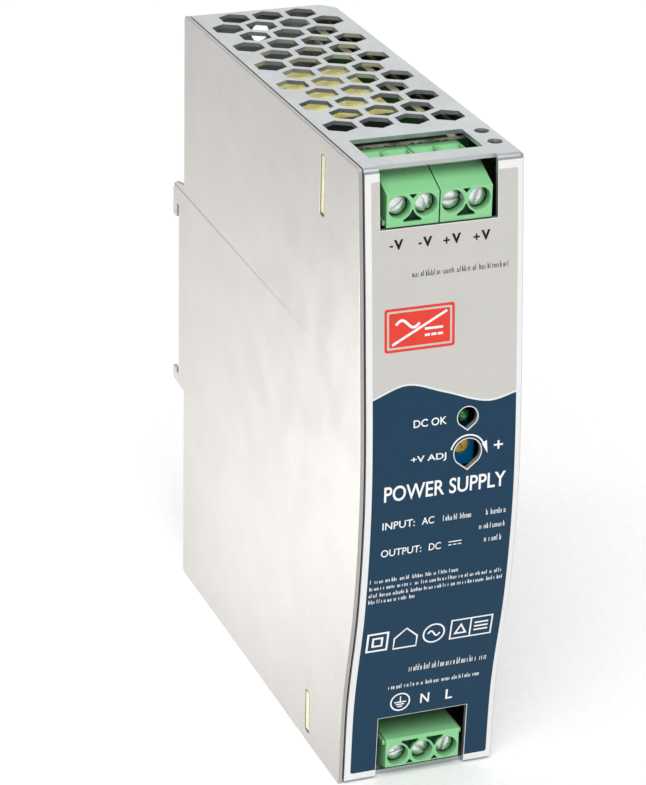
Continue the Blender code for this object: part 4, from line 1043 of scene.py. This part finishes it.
def build_boards():
    refinish("main_board", "board_x")
    outline = [(-15.9, 111.0), (-14.8, 111.0), (-14.8, 107.5), (12.2, 107.5), (12.2, 122.8), (-14.8, 122.8),
               (-14.8, 122.0), (-15.9, 122.0)]
    notches = []
    for pole in range(4):
        for side in (-0.78, 0.78):
            x = OUTPUT_BLOCK["first_x"] + pole * POLE_PITCH + side
            notches.append(rod((x, OUTPUT_BOARD_Y, 124.0), (x, OUTPUT_BOARD_Y, 119.0), 0.42, 16))
    plate = boolean(slab([outline], "Y", OUTPUT_BOARD_Y, OUTPUT_BOARD_Y + BOARD_THICKNESS), notches)
    piece("output_board_plate", rounded(plate, 0.06, 2, 40), "board_y", "output_terminal_board")
    refinish("input_terminal_board", "board_y")
    refinish("control_board", "board_y")
    refinish("insulation_sheet", "dark_film")
    joints = []
    fillet = [(0, 1.1), (0.5, 1.0), (0.8, 0.5), (1.45, 0.0), (0, 0.0)]
    for block, poles, board_y in ((OUTPUT_BLOCK, 4, OUTPUT_BOARD_Y), (INPUT_BLOCK, 3, INPUT_BOARD_Y)):
        for pole in range(poles):
            place = (pole_x(block, pole), board_y + BOARD_THICKNESS, block["base_z"] + block["up"] * 1.0)
            joints.append(turned(fillet, 20, place, (0, 1, 0)))
    draw = random.Random(11)
    face = MAIN_BOARD_X
    bodies = []
    for _ in range(46):
        y = draw.uniform(-73.0, -6.0)
        z = draw.uniform(7.0, 118.0)
        long_y = draw.random() < 0.5
        half_y, half_z = (0.95, 0.55) if long_y else (0.55, 0.95)
        bodies.append(box((face, y - half_y, z - half_z), (face + 0.6, y + half_y, z + half_z)))
        for sign in (-1, 1):
            end_y = y + sign * half_y if long_y else y
            end_z = z if long_y else z + sign * half_z
            cap_y, cap_z = (0.3, half_z) if long_y else (half_y, 0.3)
            joints.append(box((face, end_y - cap_y, end_z - cap_z),
                              (face + 0.65, end_y + cap_y, end_z + cap_z)))
    piece("board_solder", smooth(merged(joints)), "tinned_copper")
    piece("board_chips", rounded(merged(bodies), 0.08, 2), "epoxy_black")


def capacitor(name, centre, radius, length, axis, node):
    """Sleeved can with a rolled bead, a recessed metal top and a rounded shoulder."""
    half = length / 2
    rim = ((1.3, 0.25), (0.9, 0.0), (0.45, 0.08), (0.1, 0.4), (0.0, 0.9), (0.0, 2.4), (0.35, 2.8), (0.4, 3.1),
           (0.35, 3.4), (0.0, 3.8))
    profile = [(0, half - 0.25)] + [(radius - inset, half - drop) for inset, drop in rim]
    profile += [(radius, -half + 0.7), (radius - 0.2, -half + 0.2), (radius - 0.7, -half), (0, -half)]
    piece(name, smooth(turned(profile, 56, centre, axis), 40), "black_sleeve", node)
    top = [(0, half - 0.02), (radius - 1.35, half - 0.02), (radius - 1.3, half - 0.2), (0, half - 0.2)]
    piece(name + "_top", smooth(turned(top, 48, centre, axis)), "can_top")


def build_transformer():
    winding = slab([rounded_rectangle((-56.0, 94.0), (-26.4, 121.0), 1.2, 8)], "X", -9.6, 7.4)
    winding = boolean(winding, [box((-20, -48.5, 100.5), (20, -37.5, 113.5))])
    piece("transformer_taped_winding", rounded(winding, 0.5, 3, 40), "yellow_tape", "transformer_winding")
    flanges = [box((-9.9, -57.4, 93.4), (7.7, -56.2, 120.4)), box((-9.9, -26.2, 93.4), (7.7, -25.2, 118.0))]
    piece("transformer_flanges", rounded(merged(flanges), 0.2, 2), "epoxy_black")
    sides = [box((-9.9, -56.3, 99), (6.7, -48.2, 115)), box((-9.9, -37.8, 99), (6.7, -29.7, 115))]
    core = boolean(box((-13.0, -61.0, 100.8), (10.2, -25.0, 113.2)), sides)
    core = boolean(core, [box((-1.66, -70, 99), (-1.58, -20, 115))])
    piece("transformer_ferrite", rounded(core, 0.3, 2, 40), "ferrite", "transformer_core")
    band = slab([rounded_rectangle((-13.25, -61.25), (10.45, -24.75), 0.4, 4),
                 rounded_rectangle((-13.02, -61.02), (10.22, -24.98), 0.3, 4)], "Z", 104.4, 109.6)
    piece("transformer_band", rounded(band, 0.06, 2), "yellow_tape")


def build_choke():
    x, y, z = 5.8, -30.0, 24.0
    ring_radius, core_radius, coil_radius = 8.3, 2.7, 3.15
    angles = [math.radians(angle) for angle in range(90, -270, -15)]
    section = [(ring_radius + core_radius * math.cos(a), core_radius * math.sin(a)) for a in angles]
    core = turned(section, 48, (x, y, z), (1, 0, 0), closed=True)
    piece("choke_core", smooth(core), "ferrite", "filter_choke")
    turns, steps = 13, 22
    for part, (start, stop) in enumerate(((20, 160), (200, 340)), 1):
        coil = []
        for i in range(turns * steps + 1):
            around = math.radians(start + (stop - start) * i / (turns * steps))
            roll = 2 * math.pi * i / steps
            reach = ring_radius + coil_radius * math.cos(roll)
            coil.append((x + coil_radius * math.sin(roll), y + reach * math.cos(around),
                         z + reach * math.sin(around)))
        piece(f"choke_winding_{part}", smooth(wire(coil, 0.42)), "copper_wire")


def build_circuit():
    build_transformer()
    capacitor("bulk_capacitor_can", (-0.5, -33.0, 66.0), 8.9, 36.4, (0, 0, 1), "bulk_capacitor")
    for index, z in enumerate((93.5, 105.0), 1):
        capacitor(f"output_capacitor_can_{index}", (0.6, -69.0, z), 5.0, 20.0, (-1, 0, 0),
                  f"output_capacitor_{index}")
    build_choke()

    box_capacitor = rounded(box((-4.0, -61.0, 20.0), (10.6, -50.0, 38.0)), 0.5, 3)
    piece("film_capacitor", box_capacitor, "box_grey", "filter_capacitor")
    profile = mirrored([(0, 2.0), (2.6, 1.95), (3.6, 1.6), (4.3, 0.9), (4.5, 0.0)])
    disc = turned(profile, 44, (5.8, -60.0, 47.0), (0, 1, 0))
    piece("disc_capacitor", smooth(disc, 50), "ceramic_blue", "safety_capacitor")
    profile = mirrored([(0, 1.8), (2.8, 1.75), (3.8, 1.4), (4.35, 0.6)])
    disc = turned(profile, 44, (5.8, -70.0, 50.0), (0, 1, 0))
    piece("thermistor_disc", smooth(disc, 50), "epoxy_black", "inrush_thermistor")

    fuse_at = (7.6, -70.0, 33.0)
    tube = mirrored([(0, 10), (2.4, 10), (2.6, 9.8), (2.6, 5.4), (2.4, 5.3)])
    piece("fuse_tube", smooth(turned(tube, 36, fuse_at)), "fuse_body", "fuse")
    for end, sign in (("top", 1), ("bottom", -1)):
        cap = [(radius, height * sign) for radius, height in (
            (2.62, 5.4), (2.68, 5.4), (2.68, 9.85), (2.45, 10.05), (0, 10.05), (0, 10.0))]
        piece(f"fuse_cap_{end}", smooth(turned(cap, 36, fuse_at)), "tinned_copper")
    bridge = rounded(box((-4.0, -14.5, 18.0), (10.6, -11.0, 38.0)), 0.4, 3)
    piece("bridge_block", bridge, "epoxy_black", "bridge_rectifier")
    for node, finish in (("switch_heatsink", "heatsink"), ("output_heatsink", "heatsink"),
                         ("switch_transistor", "epoxy_black"), ("output_rectifier", "epoxy_black")):
        refinish(node, finish)

    leads = []
    for y in (-31.0, -35.0):
        leads.append(wire([(-0.5, y, 47.4), (-0.5, y, 45.0), (10.4, y, 45.0), (12.9, y, 45.0)], 0.4))
    for y, z in ((-60.0, 44.5), (-60.0, 49.5), (-70.0, 47.5), (-70.0, 52.5), (-67.5, 93.5), (-70.5, 93.5),
                 (-67.5, 105.0), (-70.5, 105.0), (-52.0, 23.0), (-52.0, 35.0), (-12.7, 20.0), (-12.7, 26.0),
                 (-12.7, 31.0), (-12.7, 36.0)):
        leads.append(wire([(8.5, y, z), (12.9, y, z)], 0.35))
    piece("component_leads", smooth(merged(leads)), "tinned_copper")


# ---------------------------------------------------------------- floor, light and camera

def add_light(name, kind, source, aim=(0.0, 0.0, 0.0), **settings):
    """A light that shines from source towards aim."""
    light = bpy.data.lights.new(name, kind)
    for key, value in settings.items():
        setattr(light, key, value)
    lamp = bpy.data.objects.new(name, light)
    lamp.location = source
    lamp.rotation_euler = (Vector(source) - Vector(aim)).to_track_quat("Z", "Y").to_euler()
    bpy.context.scene.collection.objects.link(lamp)


def build_stage():
    bpy.ops.mesh.primitive_plane_add(size=6.0, location=(0, 0, DATUM.z - 0.0001))
    floor = bpy.context.object
    floor.name = "floor"
    f = Finish("floor_paper", 0.85)
    f.colour(f.mix(f.noise(1.5), (0.90, 0.90, 0.90), (0.93, 0.93, 0.93)))
    f.bump(f.noise(0.8), 0.02, 0.2)
    floor.data.materials.append(f.material)

    world = bpy.data.worlds.new("Studio")
    world.use_nodes = True
    background = world.node_tree.nodes["Background"]
    background.inputs["Color"].default_value = (1.0, 1.0, 1.0, 1.0)
    background.inputs["Strength"].default_value = WORLD_LIGHT
    bpy.context.scene.world = world
    bpy.context.scene.view_settings.view_transform = "Standard"

    for name, source, strength, spread in SUNS:
        add_light(name, "SUN", source, energy=strength, angle=math.radians(spread))
    for name, place, aim, size, watts in AREAS:
        add_light(name, "AREA", place, aim, shape="DISK", size=size, energy=watts)


def build_camera():
    camera = bpy.data.cameras.new("view")
    camera.lens = 143.13
    camera.sensor_width = 36.0
    camera.clip_start = 0.01
    eye = bpy.data.objects.new("view", camera)
    right = Vector((0.93619738, -0.35090042, 0.02008362))
    up = Vector((0.1233235, 0.38145917, 0.91612238))
    back = Vector((-0.32912881, -0.85519459, 0.40039535))
    turn = Matrix((right, up, back)).transposed()
    eye.matrix_world = Matrix.Translation((-0.206196, -0.580071, 0.243007)) @ turn.to_4x4()
    bpy.context.scene.collection.objects.link(eye)
    bpy.context.scene.camera = eye


build_chassis()
build_side_cover()
build_fasteners()
build_rail_clamp()
build_label()
build_terminals()
build_controls()
build_boards()
build_circuit()
build_stage()
build_camera()

bpy.context.view_layer.update()
